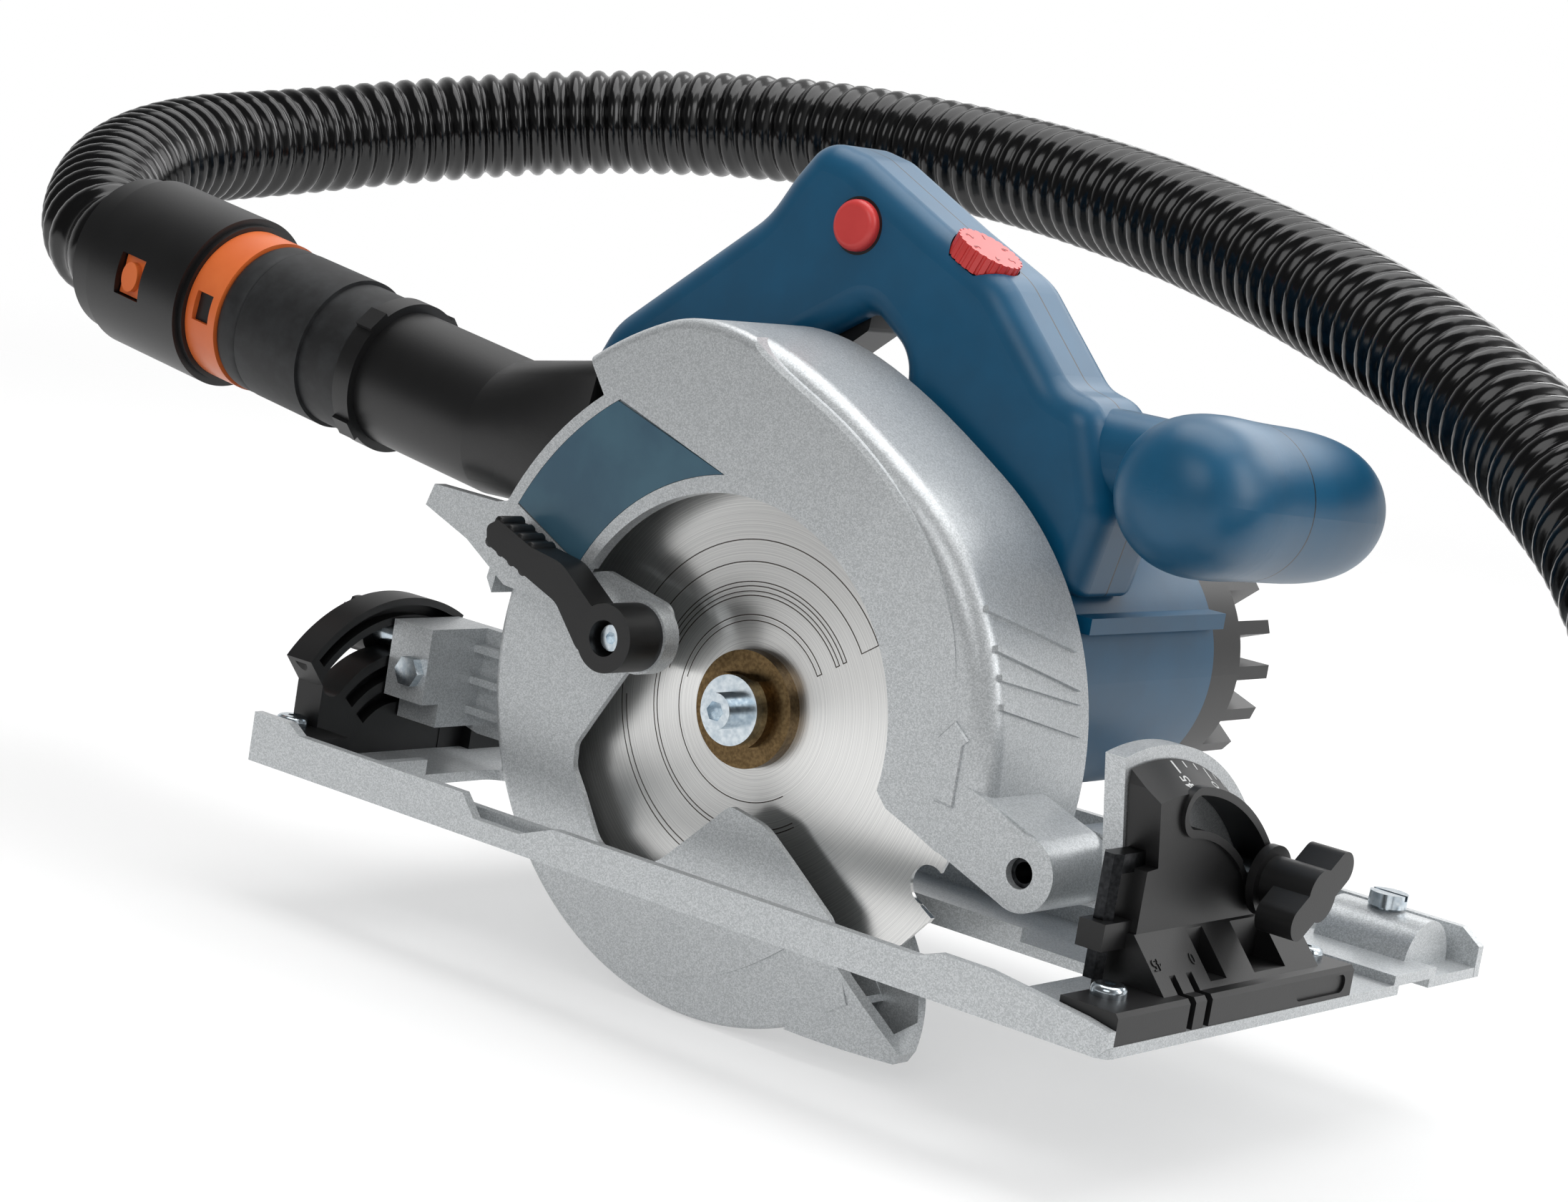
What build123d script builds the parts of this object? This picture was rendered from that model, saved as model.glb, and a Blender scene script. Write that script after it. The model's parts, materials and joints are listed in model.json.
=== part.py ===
from build123d import *
import math
import os

os.makedirs("parts", exist_ok=True)

# Frame: X forward, Y from the blade towards the motor, Z up, all in mm.
# The sole is z = 0 and the middle of the blade is y = 0, with the arbor above the origin.

# fits
RUN = 0.05            # radial play of a running fit
GAP = 0.4             # gap between moving pieces
SEAT = 0.02           # play of a seated piece

# blade and arbor
ARBOR_Z = 47.3
BLADE_R = 80.0
BLADE_ROOT_R = 75.0
BLADE_BODY = 1.2
BLADE_KERF = 1.8
BLADE_TEETH = 12
BLADE_BORE_R = 10.0
GULLET_R = 5.5
FLANGE_R = 16.25
FLANGE_T = 4.1
COLLAR_R = 11.0
COLLAR_END = -8.0
BOLT_FLANGE_R = 9.7
BOLT_FLANGE_END = -11.0
BOLT_HEAD_R = 5.0
BOLT_HEAD_END = -17.0
HEX_AF = 5.0
SPINDLE_R = 6.0
SPINDLE_NOSE = -4.0
SPINDLE_TAIL_R = 4.0
SPINDLE_TAIL_END = 42.5

def polar(r, deg):
    """A point at radius r about the arbor, in the plane of the blade."""
    a = math.radians(deg)
    return (r * math.cos(a), ARBOR_Z + r * math.sin(a))


# bearings: bore radius, outer radius, width and near end
FRONT_BEARING = (6.0, 16.0, 10.0, 6.2)
REAR_BEARING = (4.0, 7.5, 7.0, 35.0)
MOTOR_FRONT_BEARING = (5.0, 13.0, 8.0, 36.4)
MOTOR_REAR_BEARING = (4.0, 11.0, 7.0, 114.0)

# gears
GEAR_MODULE = 1.0
GEAR_TEETH = 34
SMALL_TEETH = 16
LARGE_TEETH = 35
PINION_TEETH = 15
GEAR_Y = (18.5, 25.0)
SMALL_Y = (18.3, 26.3)
LARGE_Y = (26.3, 31.8)
PINION_Y = (26.0, 32.2)
STAGE = GEAR_MODULE * (GEAR_TEETH + SMALL_TEETH) / 2
MOTOR_DEG = 32.2
CENTRES = 42.5
MOTOR_X = CENTRES * math.cos(math.radians(MOTOR_DEG))
MOTOR_Z = ARBOR_Z + CENTRES * math.sin(math.radians(MOTOR_DEG))
# both stages have the same centre distance, so the middle shaft lies above the line of centres
BEND_DEG = math.degrees(math.acos(CENTRES / 2 / STAGE))
MIDDLE_DEG = MOTOR_DEG + BEND_DEG
MIDDLE_X = STAGE * math.cos(math.radians(MIDDLE_DEG))
MIDDLE_Z = ARBOR_Z + STAGE * math.sin(math.radians(MIDDLE_DEG))
SECOND_DEG = MOTOR_DEG - BEND_DEG
MIDDLE_SHAFT_R = 4.0

# upper guard
GUARD_R = 87.0
GUARD_TOP_R = 107.3
GUARD_REAR_R = 95.0
GUARD_WALL = 3.0
GUARD_NEAR = -13.5
FACE_NEAR = -15.0
FACE_EDGE_R = 3.0
FACE_STEP = 1.2
FADE_DEG = (58.0, 16.0)
RIDGE = ((20, 77), (42, 81), (66, 84.5), (77.5, 88), (89, 94), (97.7, 104.5))
RIM_BARS = ((31, 23), (24, 16.2), (19, 13.8), (14, 8.2))
RIM_BAR_Y = (-9.0, 28.0)
RIM_BAR_H = 1.2
RIM_BAR_W = 1.6
GUARD_BACK = 13.0
GUARD_RIM = 33.0
GUARD_EDGE_R = 7.0
GUARD_START_DEG = -12.0
GUARD_END_DEG = 170.0
GUARD_STEP_DEG = 127.0
OPENING_R = 57.3
OPENING_C = (-2.5, ARBOR_Z + 1.0)
BOSS_R = 19.8
BOSS_NEAR = 5.4
BOSS_FAR = 16.8
GEAR_CASE_R = 23.0
GEAR_CASE_WALL = 2.5
MIDDLE_CASE_R = 22.5
PINION_CASE_R = 13.0

# depth pivot and depth clamp
PIVOT_X = 101.5
PIVOT_Z = 29.3
PIVOT_BOSS_R = 10.2
PIVOT_PIN_R = 4.0
PIVOT_PIN_BORE = 2.8
PIVOT_LUG = (14.4, 34.0)
CLAMP_R = 171.5
CLAMP_DEG = 172.0
CLAMP_BOLT_R = 4.0
ARC_PLATE_Y = (16.6, 20.6)
ARC_PLATE_R = (164.5, 178.5)
ARC_PLATE_DEG = (154.5, 187.0)
ARC_SLOT_DEG = (156.9, 182.6)

# lower guard
LOWER_R = 86.5
LOWER_WALL = 2.0
LOWER_EDGE_R = 2.8
CREASE = ((-27.0, -34.0), (-7.0, -29.6), (6.3, -25.8), (30.6, -11.0), (46.0, 3.2))
CREASE_DEPTH = 0.6
LOWER_NEAR = -10.0
LOWER_FAR = 9.5
LOWER_DEG = (168.0, 308.0)
HUB_R = 26.0
HORN_ROOT = (80.0, 304.0)
HORN_TIP = (104.2, 310.3)
LEVER_X = -31.6
LEVER_Z = 60.5
LEVER_BOSS_R = 9.5
LEVER_Y = (-30.0, -16.0)

# base
BASE_X = (-141.6, 154.7)
BASE_Y = (-46.3, 151.7)
SOLE_T = 3.0
BASE_WALL = 3.0
FAR_WALL_H = 13.2
OPEN_X = (-104.0, 112.0)
OPEN_Y = (-36.0, 21.0)
RIM_RIB_TOP = 6.8
BASE_SCREWS = ((143.0, -30.0), (143.0, 68.0), (-135.0, -37.6), (-135.0, 40.0))
FRONT_SCREW_Z = 11.2
REAR_SCREW_Z = 11.5

# tilt parts, radii about the tilt axis y = 0, z = 0
TILT_SLOT_R = 54.3
TILT_STUD_R = 4.0
TILT_REST_DEG = 51.3
TILT_RANGE = 45.0
BRACKET_X = (122.8, 128.8)
QUAD_X = (129.3, 139.0)
QUAD_R = 65.5
QUAD_FACE_R = 59.0
BAR_X = 154.5
REAR_SLOT_R = 37.5
REAR_QUAD_X = (-140.0, -130.0)
REAR_ARM_X = (-129.4, -114.0)
ARM_BOLT = (-119.5, 30.0)
KEY_R = 30.0
KEY_W = 4.0
KEY_H = 2.6
KEY_ROD = (132.6, -21.2)

# motor
MOTOR_R = 39.0
MOTOR_BORE_R = 36.8
HOUSING_Y = (33.3, 112.0)
HOUSING_WALL_Y = 45.0
CAP_Y = (112.0, 147.0)
CAP_SKIRT_Y = 128.0
FIN_COUNT = 18
FIN_W = 4.0
LOCK_R = 2.4
LOCK_AT = polar(11.5, 225.0)
LOCK_Y = (29.5, 56.0)

# handle
HANDLE_NEAR = 37.0
HANDLE_MID = 54.0
HANDLE_FAR = 71.0
SHELL_WALL = 3.0
HANDLE_EDGE_R = 8.0
BULB_X = 108.0
BULB_Z = 127.2
BULB_R = 21.5
BULB_Y = (9.0, 109.5)
BULB_DIP = 3.0
BUTTON_R = 7.3
BUTTON_AT = (-19.0, 179.7)
DIAL_R = 10.0
DIAL_T = 6.0
DIAL_AT = (17.0, 47.0, 174.6)
DIAL_TILT = 24.7
TRIGGER_PIVOT = (-21.0, 160.5)
SHELL_SCREWS = ((-92.0, 136.0), (48.0, 124.0), (-24.0, 186.0))
SCREW_HEAD_R = 3.4

# dust line, stations measured along its axis
DUST_AT = (-111.2, 6.0, 105.4)
DUST_RISE = math.radians(8.06)
DUST_DIR = (-math.cos(DUST_RISE), 0.0, math.sin(DUST_RISE))
TUBE_R = 20.5
TUBE_BORE_R = 17.5
TUBE_END = 52.0
SLEEVE = (48.0, 100.9)
SLEEVE_R = 22.0
RING_R = 23.6
RING_S = (100.0, 113.0)
COUPLING_R = 27.0
COUPLING_S = (112.0, 165.0)
LATCH_S = 137.0
LATCH_R = 23.2
LATCH_T = 1.2
LATCH_PIN_R = 2.5
LATCH_ROOM = 1.8
LATCH_PIN_IN = 2.35

# hose
HOSE_R = 19.0
HOSE_ROOT_R = 17.2
HOSE_BORE_R = 15.4
HOSE_RIBS = 40
HOSE_FROM_S = 129.0
FLOOR_Z = -39.5
COIL_RADII = (205.0, 198.0)
CLIMB = 39.0           # height of the coil's end above its first run
CLIMB_INSET = 18.0
LAND_AT = (182.0, 106.0, 140.0)
LAND_DIR = (0.79, -0.613)
LAND_RUN = 45.0
LAND_SLOPES = (30.0, 43.0, 53.0, 42.0, 29.0, 16.0, 5.0)
TIE_T = 1.2
TIE_W = 10.0
CUFF_LENGTH = 70.0
CUFF_BORE_R = 17.0


def tilt_point(r, deg):
    """A point at radius r about the tilt axis, deg from upright towards +Y."""
    a = math.radians(deg)
    return (r * math.sin(a), r * math.cos(a))


def rounded(points, radii, closed=True):
    """Lines through points with each corner rounded, less where the runs are short."""
    points = [Vector(*p) for p in points]
    n = len(points)
    starts = []
    ends = []
    edges = []
    for i, p in enumerate(points):
        last = not closed and i in (0, n - 1)
        back = points[i - 1] - p
        ahead = points[(i + 1) % n] - p
        turn = math.pi - math.radians(back.get_angle(ahead))
        reach = 0.0
        if not last and turn > 0.01:
            reach = min(radii[i] * math.tan(turn / 2), 0.45 * min(back.length, ahead.length))
        starts.append(p + back.normalized() * reach)
        ends.append(p + ahead.normalized() * reach)
        if reach > 0.0:
            r = reach / math.tan(turn / 2)
            inward = (back.normalized() + ahead.normalized()).normalized()
            edges.append(ThreePointArc(starts[i], p + inward * (r / math.cos(turn / 2) - r), ends[i]))
    for i in range(n if closed else n - 1):
        edges.append(Line(ends[i], starts[(i + 1) % n]))
    return edges


def face(points, radii=None):
    """A closed outline through points, with rounded corners where radii are given."""
    return make_face(rounded(points, radii or [0.0] * len(points)))


def slab_x(sketch, x0, x1):
    """Extrude a sketch drawn in (Y, Z) from x0 to x1."""
    return extrude(Plane(origin=(x0, 0, 0), x_dir=(0, 1, 0), z_dir=(1, 0, 0)) * sketch, amount=x1 - x0)


def slab_y(sketch, y0, y1):
    """Extrude a sketch drawn in (X, Z) from y0 to y1."""
    return extrude(Plane(origin=(0, y1, 0), x_dir=(1, 0, 0), z_dir=(0, -1, 0)) * sketch, amount=y1 - y0)


def slab_z(sketch, z0, z1):
    """Extrude a sketch drawn in (X, Y) from z0 to z1."""
    return extrude(Plane(origin=(0, 0, z0)) * sketch, amount=z1 - z0)


def rod_x(y, z, r, x0, x1):
    return slab_x(Pos(y, z) * Circle(r), x0, x1)


def rod_y(x, z, r, y0, y1):
    return slab_y(Pos(x, z) * Circle(r), y0, y1)


def rod_z(x, y, r, z0, z1):
    return slab_z(Pos(x, y) * Circle(r), z0, z1)


def block(x0, x1, y0, y1, z0, z1):
    return Pos((x0 + x1) / 2, (y0 + y1) / 2, (z0 + z1) / 2) * Box(x1 - x0, y1 - y0, z1 - z0)


def band(r0, r1, a0, a1, centre=(0.0, 0.0)):
    """A ring sector between two radii and two angles."""
    outer = CenterArc(centre, r1, a0, a1 - a0)
    inner = CenterArc(centre, r0, a0, a1 - a0)
    return make_face([outer, Line(outer @ 1, inner @ 1), inner, Line(inner @ 0, outer @ 0)])


def hull(*circles):
    """The outline round several circles given as x, z and radius."""
    edges = []
    for x, z, r in circles:
        edges += (Pos(x, z) * Circle(r)).edges()
    return make_hull(edges)


def hexagon(across):
    return RegularPolygon(across / 2, 6, major_radius=False)


def save(shape, name):
    export_step(shape, "parts/" + name + ".step")


# blade, spindle and gears

def blade():
    body = Pos(0, ARBOR_Z) * Circle(BLADE_ROOT_R)
    tips = []
    step = 360.0 / BLADE_TEETH
    for i in range(BLADE_TEETH):
        a = i * step
        tooth = face([polar(BLADE_R, a), polar(BLADE_R - 1.2, a - 9), polar(BLADE_ROOT_R - 1, a - 20),
                      polar(BLADE_ROOT_R - 9, a - 12), polar(BLADE_ROOT_R - 9, a)])
        body += tooth
    for i in range(BLADE_TEETH):
        a = i * step
        gullet = polar(BLADE_ROOT_R - 1.5, a + 4.3)
        body -= Pos(*gullet) * Circle(GULLET_R)
        tips.append(face([polar(BLADE_R, a), polar(BLADE_R, a - 1.4), polar(BLADE_R - 6, a - 1.6),
                          polar(BLADE_R - 6, a)]))
    body -= Pos(0, ARBOR_Z) * Circle(BLADE_BORE_R)
    disc = slab_y(body, -BLADE_BODY / 2, BLADE_BODY / 2)
    for tip in tips:
        disc += slab_y(tip, -BLADE_KERF / 2, BLADE_KERF / 2)
    return disc


def inner_flange():
    f = rod_y(0, ARBOR_Z, FLANGE_R, BLADE_BODY / 2, BLADE_BODY / 2 + FLANGE_T)
    f += rod_y(0, ARBOR_Z, BLADE_BORE_R - SEAT, -BLADE_BODY / 2 + 0.1, BLADE_BODY / 2)
    return f - rod_y(0, ARBOR_Z, SPINDLE_R + SEAT, -2, 10)


def outer_flange():
    face_y = -BLADE_BODY / 2
    f = rod_y(0, ARBOR_Z, FLANGE_R, face_y - FLANGE_T, face_y)
    collar = rod_y(0, ARBOR_Z, COLLAR_R, COLLAR_END, face_y - FLANGE_T)
    flats = block(-COLLAR_R, COLLAR_R, COLLAR_END, face_y - FLANGE_T, ARBOR_Z - 9.2, ARBOR_Z + 9.2)
    f += collar & flats
    f -= rod_y(0, ARBOR_Z, SPINDLE_R + SEAT, SPINDLE_NOSE - 0.3, 1)
    return f - rod_y(0, ARBOR_Z, SPINDLE_TAIL_R + 0.2, COLLAR_END - 1, 1)


def blade_bolt():
    b = rod_y(0, ARBOR_Z, BOLT_FLANGE_R, BOLT_FLANGE_END, COLLAR_END)
    b += rod_y(0, ARBOR_Z, BOLT_HEAD_R, BOLT_HEAD_END, BOLT_FLANGE_END)
    b += rod_y(0, ARBOR_Z, SPINDLE_TAIL_R, COLLAR_END, 10.0)
    return b - slab_y(Pos(0, ARBOR_Z) * hexagon(HEX_AF), BOLT_HEAD_END - 1, BOLT_HEAD_END + 4)


def spindle():
    s = rod_y(0, ARBOR_Z, SPINDLE_R, SPINDLE_NOSE, FRONT_BEARING[3] + FRONT_BEARING[2])
    s += rod_y(0, ARBOR_Z, SPINDLE_R + 2, FRONT_BEARING[3] + FRONT_BEARING[2] + 0.3, GEAR_Y[0] - SEAT)
    s += rod_y(0, ARBOR_Z, SPINDLE_R, FRONT_BEARING[3] + 1, GEAR_Y[1] + 0.5)
    s += rod_y(0, ARBOR_Z, SPINDLE_TAIL_R, GEAR_Y[1], SPINDLE_TAIL_END)
    return s - rod_y(0, ARBOR_Z, SPINDLE_TAIL_R + SEAT, SPINDLE_NOSE - 1, 11.0)


def gear_outline(teeth, phase):
    """Straight-flanked teeth about the origin, thinned so that meshing teeth stay clear."""
    pitch_r = GEAR_MODULE * teeth / 2
    tip_r = pitch_r + 0.75 * GEAR_MODULE
    root_r = pitch_r - 1.25 * GEAR_MODULE
    step = 360.0 / teeth
    points = []
    for i in range(teeth):
        for r, part in ((root_r, -0.27), (tip_r, -0.1), (tip_r, 0.1), (root_r, 0.27)):
            a = math.radians(phase + (i + part) * step)
            points.append((r * math.cos(a), r * math.sin(a)))
    return face(points)


def spindle_gear():
    teeth = gear_outline(GEAR_TEETH, MIDDLE_DEG)
    holes = Sketch()
    for i in range(4):
        holes += Rot(0, 0, 45 + 90 * i) * Pos(11.5, 0) * Circle(2.6)
    return slab_y(Pos(0, ARBOR_Z) * (teeth - Circle(SPINDLE_R + SEAT) - holes), *GEAR_Y)


def middle_gear():
    at = Pos(MIDDLE_X, MIDDLE_Z)
    small_phase = MIDDLE_DEG + 180.0 + 180.0 / SMALL_TEETH
    g = slab_y(at * gear_outline(SMALL_TEETH, small_phase), *SMALL_Y)
    g += slab_y(at * gear_outline(LARGE_TEETH, SECOND_DEG), *LARGE_Y)
    return g + rod_y(MIDDLE_X, MIDDLE_Z, MIDDLE_SHAFT_R, GUARD_BACK + 0.4, HOUSING_WALL_Y - 4)


def bearing(x, z, size):
    bore, outer, width, y0 = size
    b = slab_y(Pos(x, z) * (Circle(outer - SEAT) - Circle(bore + RUN)), y0, y0 + width)
    groove = Pos(x, z) * (Circle(outer - 2.5) - Circle(bore + 2))
    b -= slab_y(groove, y0 - 1, y0 + 0.6)
    return b - slab_y(groove, y0 + width - 0.6, y0 + width + 1)


# motor

def armature():
    x, z = MOTOR_X, MOTOR_Z
    phase = SECOND_DEG + 180.0 + 180.0 / PINION_TEETH
    a = slab_y(Pos(x, z) * gear_outline(PINION_TEETH, phase), *PINION_Y)
    a += rod_y(x, z, 5.0, PINION_Y[1] - 1, HOUSING_WALL_Y)
    fan = slab_y(Pos(x, z) * Circle(12), 47, 54)
    fan += slab_y(Pos(x, z) * Circle(33), 47, 48.5)
    for i in range(14):
        blade_plate = slab_y(Pos(x, z) * Rot(0, 0, i * 360 / 14) * Pos(22, 0) * Rectangle(21, 1.6), 48.5, 54)
        fan += blade_plate
    a += fan
    a += rod_y(x, z, 5.0, 44, 110)
    a += rod_y(x, z, 26.0, 58, 92)
    slots = Sketch()
    for i in range(12):
        slots += Pos(x, z) * Rot(0, 0, i * 30) * Pos(25.5, 0) * Rectangle(5, 2.4)
    a -= slab_y(slots, 57, 93)
    a += rod_y(x, z, 13.0, 96, 108)
    return a + rod_y(x, z, 4.0, 109, 121)


def stator():
    ring = Circle(MOTOR_BORE_R - SEAT) - Circle(30.0)
    pole = Circle(31) & Rectangle(36, 70)
    ring += pole
    ring -= Circle(26.8)
    return slab_y(Pos(MOTOR_X, MOTOR_Z) * ring, 57, 93)


def carbon_brushes():
    parts = []
    for side in (-1, 1):
        x0 = MOTOR_X + side * 19.0
        parts.append(block(x0 - 5.5, x0 + 5.5, 98, 106, MOTOR_Z - 3, MOTOR_Z + 3))
    return Compound(parts)


def motor_housing():
    x, z = MOTOR_X, MOTOR_Z
    y0, y1 = HOUSING_Y
    h = slab_y(hull((0, ARBOR_Z, GEAR_CASE_R), (x, z, MOTOR_R)), y0, y0 + 5)
    h += rod_y(MIDDLE_X, MIDDLE_Z, 8, y0, HOUSING_WALL_Y - 2)
    h += rod_y(x, z, MOTOR_R, y0, y1)
    h += rod_y(0, ARBOR_Z, 15, y0, HOUSING_WALL_Y)
    h += slab_y(face([(x + 20, 84), (76, 84), (76, 88.5), (x + 20, 88.5)]), y0 + 8, y1)
    h -= rod_y(x, z, MOTOR_BORE_R, HOUSING_WALL_Y, y1 + 1)
    h -= rod_y(x, z, 8.0, y0 - 1, HOUSING_WALL_Y + 1)
    h -= rod_y(x, z, MOTOR_FRONT_BEARING[1], MOTOR_FRONT_BEARING[3], HOUSING_WALL_Y + 1)
    h -= rod_y(0, ARBOR_Z, REAR_BEARING[1], y0 - 1, REAR_BEARING[3] + REAR_BEARING[2])
    h -= rod_y(0, ARBOR_Z, 5.0, y0 - 1, REAR_BEARING[3] + REAR_BEARING[2] + 1.5)
    h -= rod_y(MIDDLE_X, MIDDLE_Z, MIDDLE_SHAFT_R + RUN, y0 - 1, HOUSING_WALL_Y - 3)
    return h - rod_y(LOCK_AT[0], LOCK_AT[1], LOCK_R + RUN, y0 - 1, y0 + 20)


def spindle_lock():
    b = rod_y(LOCK_AT[0], LOCK_AT[1], LOCK_R, *LOCK_Y)
    return b + rod_y(LOCK_AT[0], LOCK_AT[1], LOCK_R + 3.5, LOCK_Y[1] - 5, LOCK_Y[1])


def motor_end_cap():
    x, z = MOTOR_X, MOTOR_Z
    y0, y1 = CAP_Y
    c = rod_y(x, z, MOTOR_R - 0.5, y0, CAP_SKIRT_Y)
    c -= rod_y(x, z, MOTOR_R - 4, y0 - 1, CAP_SKIRT_Y - 3)
    c += rod_y(x, z, MOTOR_REAR_BEARING[1] + 3, MOTOR_REAR_BEARING[3], CAP_SKIRT_Y)
    c -= rod_y(x, z, MOTOR_REAR_BEARING[1], y0 - 1, MOTOR_REAR_BEARING[3] + MOTOR_REAR_BEARING[2])
    c += rod_y(x, z, 21, CAP_SKIRT_Y - 1, y1)
    fins = Sketch()
    for i in range(FIN_COUNT):
        fins += Pos(x, z) * Rot(0, 0, i * 360 / FIN_COUNT) * Pos(28.5, 0) * Rectangle(19, FIN_W)
    return c + slab_y(fins, CAP_SKIRT_Y - 1, y1 - 1)


def cap_screws():
    parts = []
    for deg in (45, 225):
        a = math.radians(deg)
        x = MOTOR_X + 14 * math.cos(a)
        z = MOTOR_Z + 14 * math.sin(a)
        screw = rod_y(x, z, 3.2, CAP_Y[1], CAP_Y[1] + 2.4)
        parts.append(screw - slab_y(Pos(x, z) * Rectangle(1.2, 5), CAP_Y[1] + 1, CAP_Y[1] + 3))
    return Compound(parts)


# upper guard

def guard_outline(inset, floor):
    """The guard's wall seen from the blade side, closed below through the floor points."""
    c = (0, ARBOR_Z)
    front = CenterArc(c, GUARD_R - inset, GUARD_START_DEG, 58 - GUARD_START_DEG)
    top = CenterArc(c, GUARD_TOP_R - inset, 112, GUARD_STEP_DEG - 112)
    rise = Spline(front @ 1, top @ 0, tangents=(front % 1, top % 0))
    rear = CenterArc(c, GUARD_REAR_R - inset, GUARD_STEP_DEG, GUARD_END_DEG - GUARD_STEP_DEG)
    edges = [front, rise, top, Line(top @ 1, rear @ 0), rear]
    points = [rear @ 1] + list(floor) + [front @ 0]
    for a, b in zip(points[:-1], points[1:]):
        edges.append(Line(a, b))
    return make_face(edges)


def face_edges(part, x0, x1):
    """The curved edges of the raised field's face with their middle between x0 and x1."""
    front = part.edges().filter_by_position(Axis.Y, FACE_NEAR, FACE_NEAR)
    return [e for e in front if e.geom_type != GeomType.LINE and x0 < (e @ 0.5).X < x1]


def raised_face(floor):
    """The near wall's raised field behind a ridge that winds out to the rim."""
    ridge = Spline(*[polar(r, deg) for deg, r in RIDGE])
    points = [ridge @ 1, polar(118, 101), polar(150, 115), polar(150, 145), (-150, 95), (-150, -30),
              (60, -30), (67.5, 31.3), ridge @ 0]
    edges = [Line(a, b) for a, b in zip(points[:-1], points[1:])]
    raised = slab_y(guard_outline(0, floor) & make_face([ridge] + edges), FACE_NEAR, GUARD_NEAR + 6)
    raised = chamfer(face_edges(raised, 0, 100), FACE_STEP)
    raised = fillet(face_edges(raised, -60, 0), FACE_EDGE_R)
    # towards the front the field sinks into the wall
    start, side, end = [Vector(x, y, z) for (x, z), y in ((polar(20, FADE_DEG[0]), FACE_NEAR),
                                                          (polar(90, FADE_DEG[0]), FACE_NEAR),
                                                          (polar(75, FADE_DEG[1]), GUARD_NEAR))]
    slope = Plane(origin=start, x_dir=side - start, z_dir=(end - start).cross(side - start))
    return raised - extrude(slope * Rectangle(600, 600), amount=40)


def rim_bars():
    """Slanted bars on the guard's front rim."""
    bars = Part()
    for start, end in RIM_BARS:
        x0, z0 = polar(GUARD_R, start)
        x1, z1 = polar(GUARD_R, end)
        near = Vector(x0, RIM_BAR_Y[0], z0)
        far = Vector(x1, RIM_BAR_Y[1], z1)
        middle = (near + far) * 0.5
        outward = Vector(middle.X, 0, middle.Z - ARBOR_Z).normalized()
        plane = Plane(origin=middle, x_dir=outward, z_dir=outward.cross(far - near))
        bars += plane * Box(2 * RIM_BAR_H, (far - near).length, RIM_BAR_W)
    return bars


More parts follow.
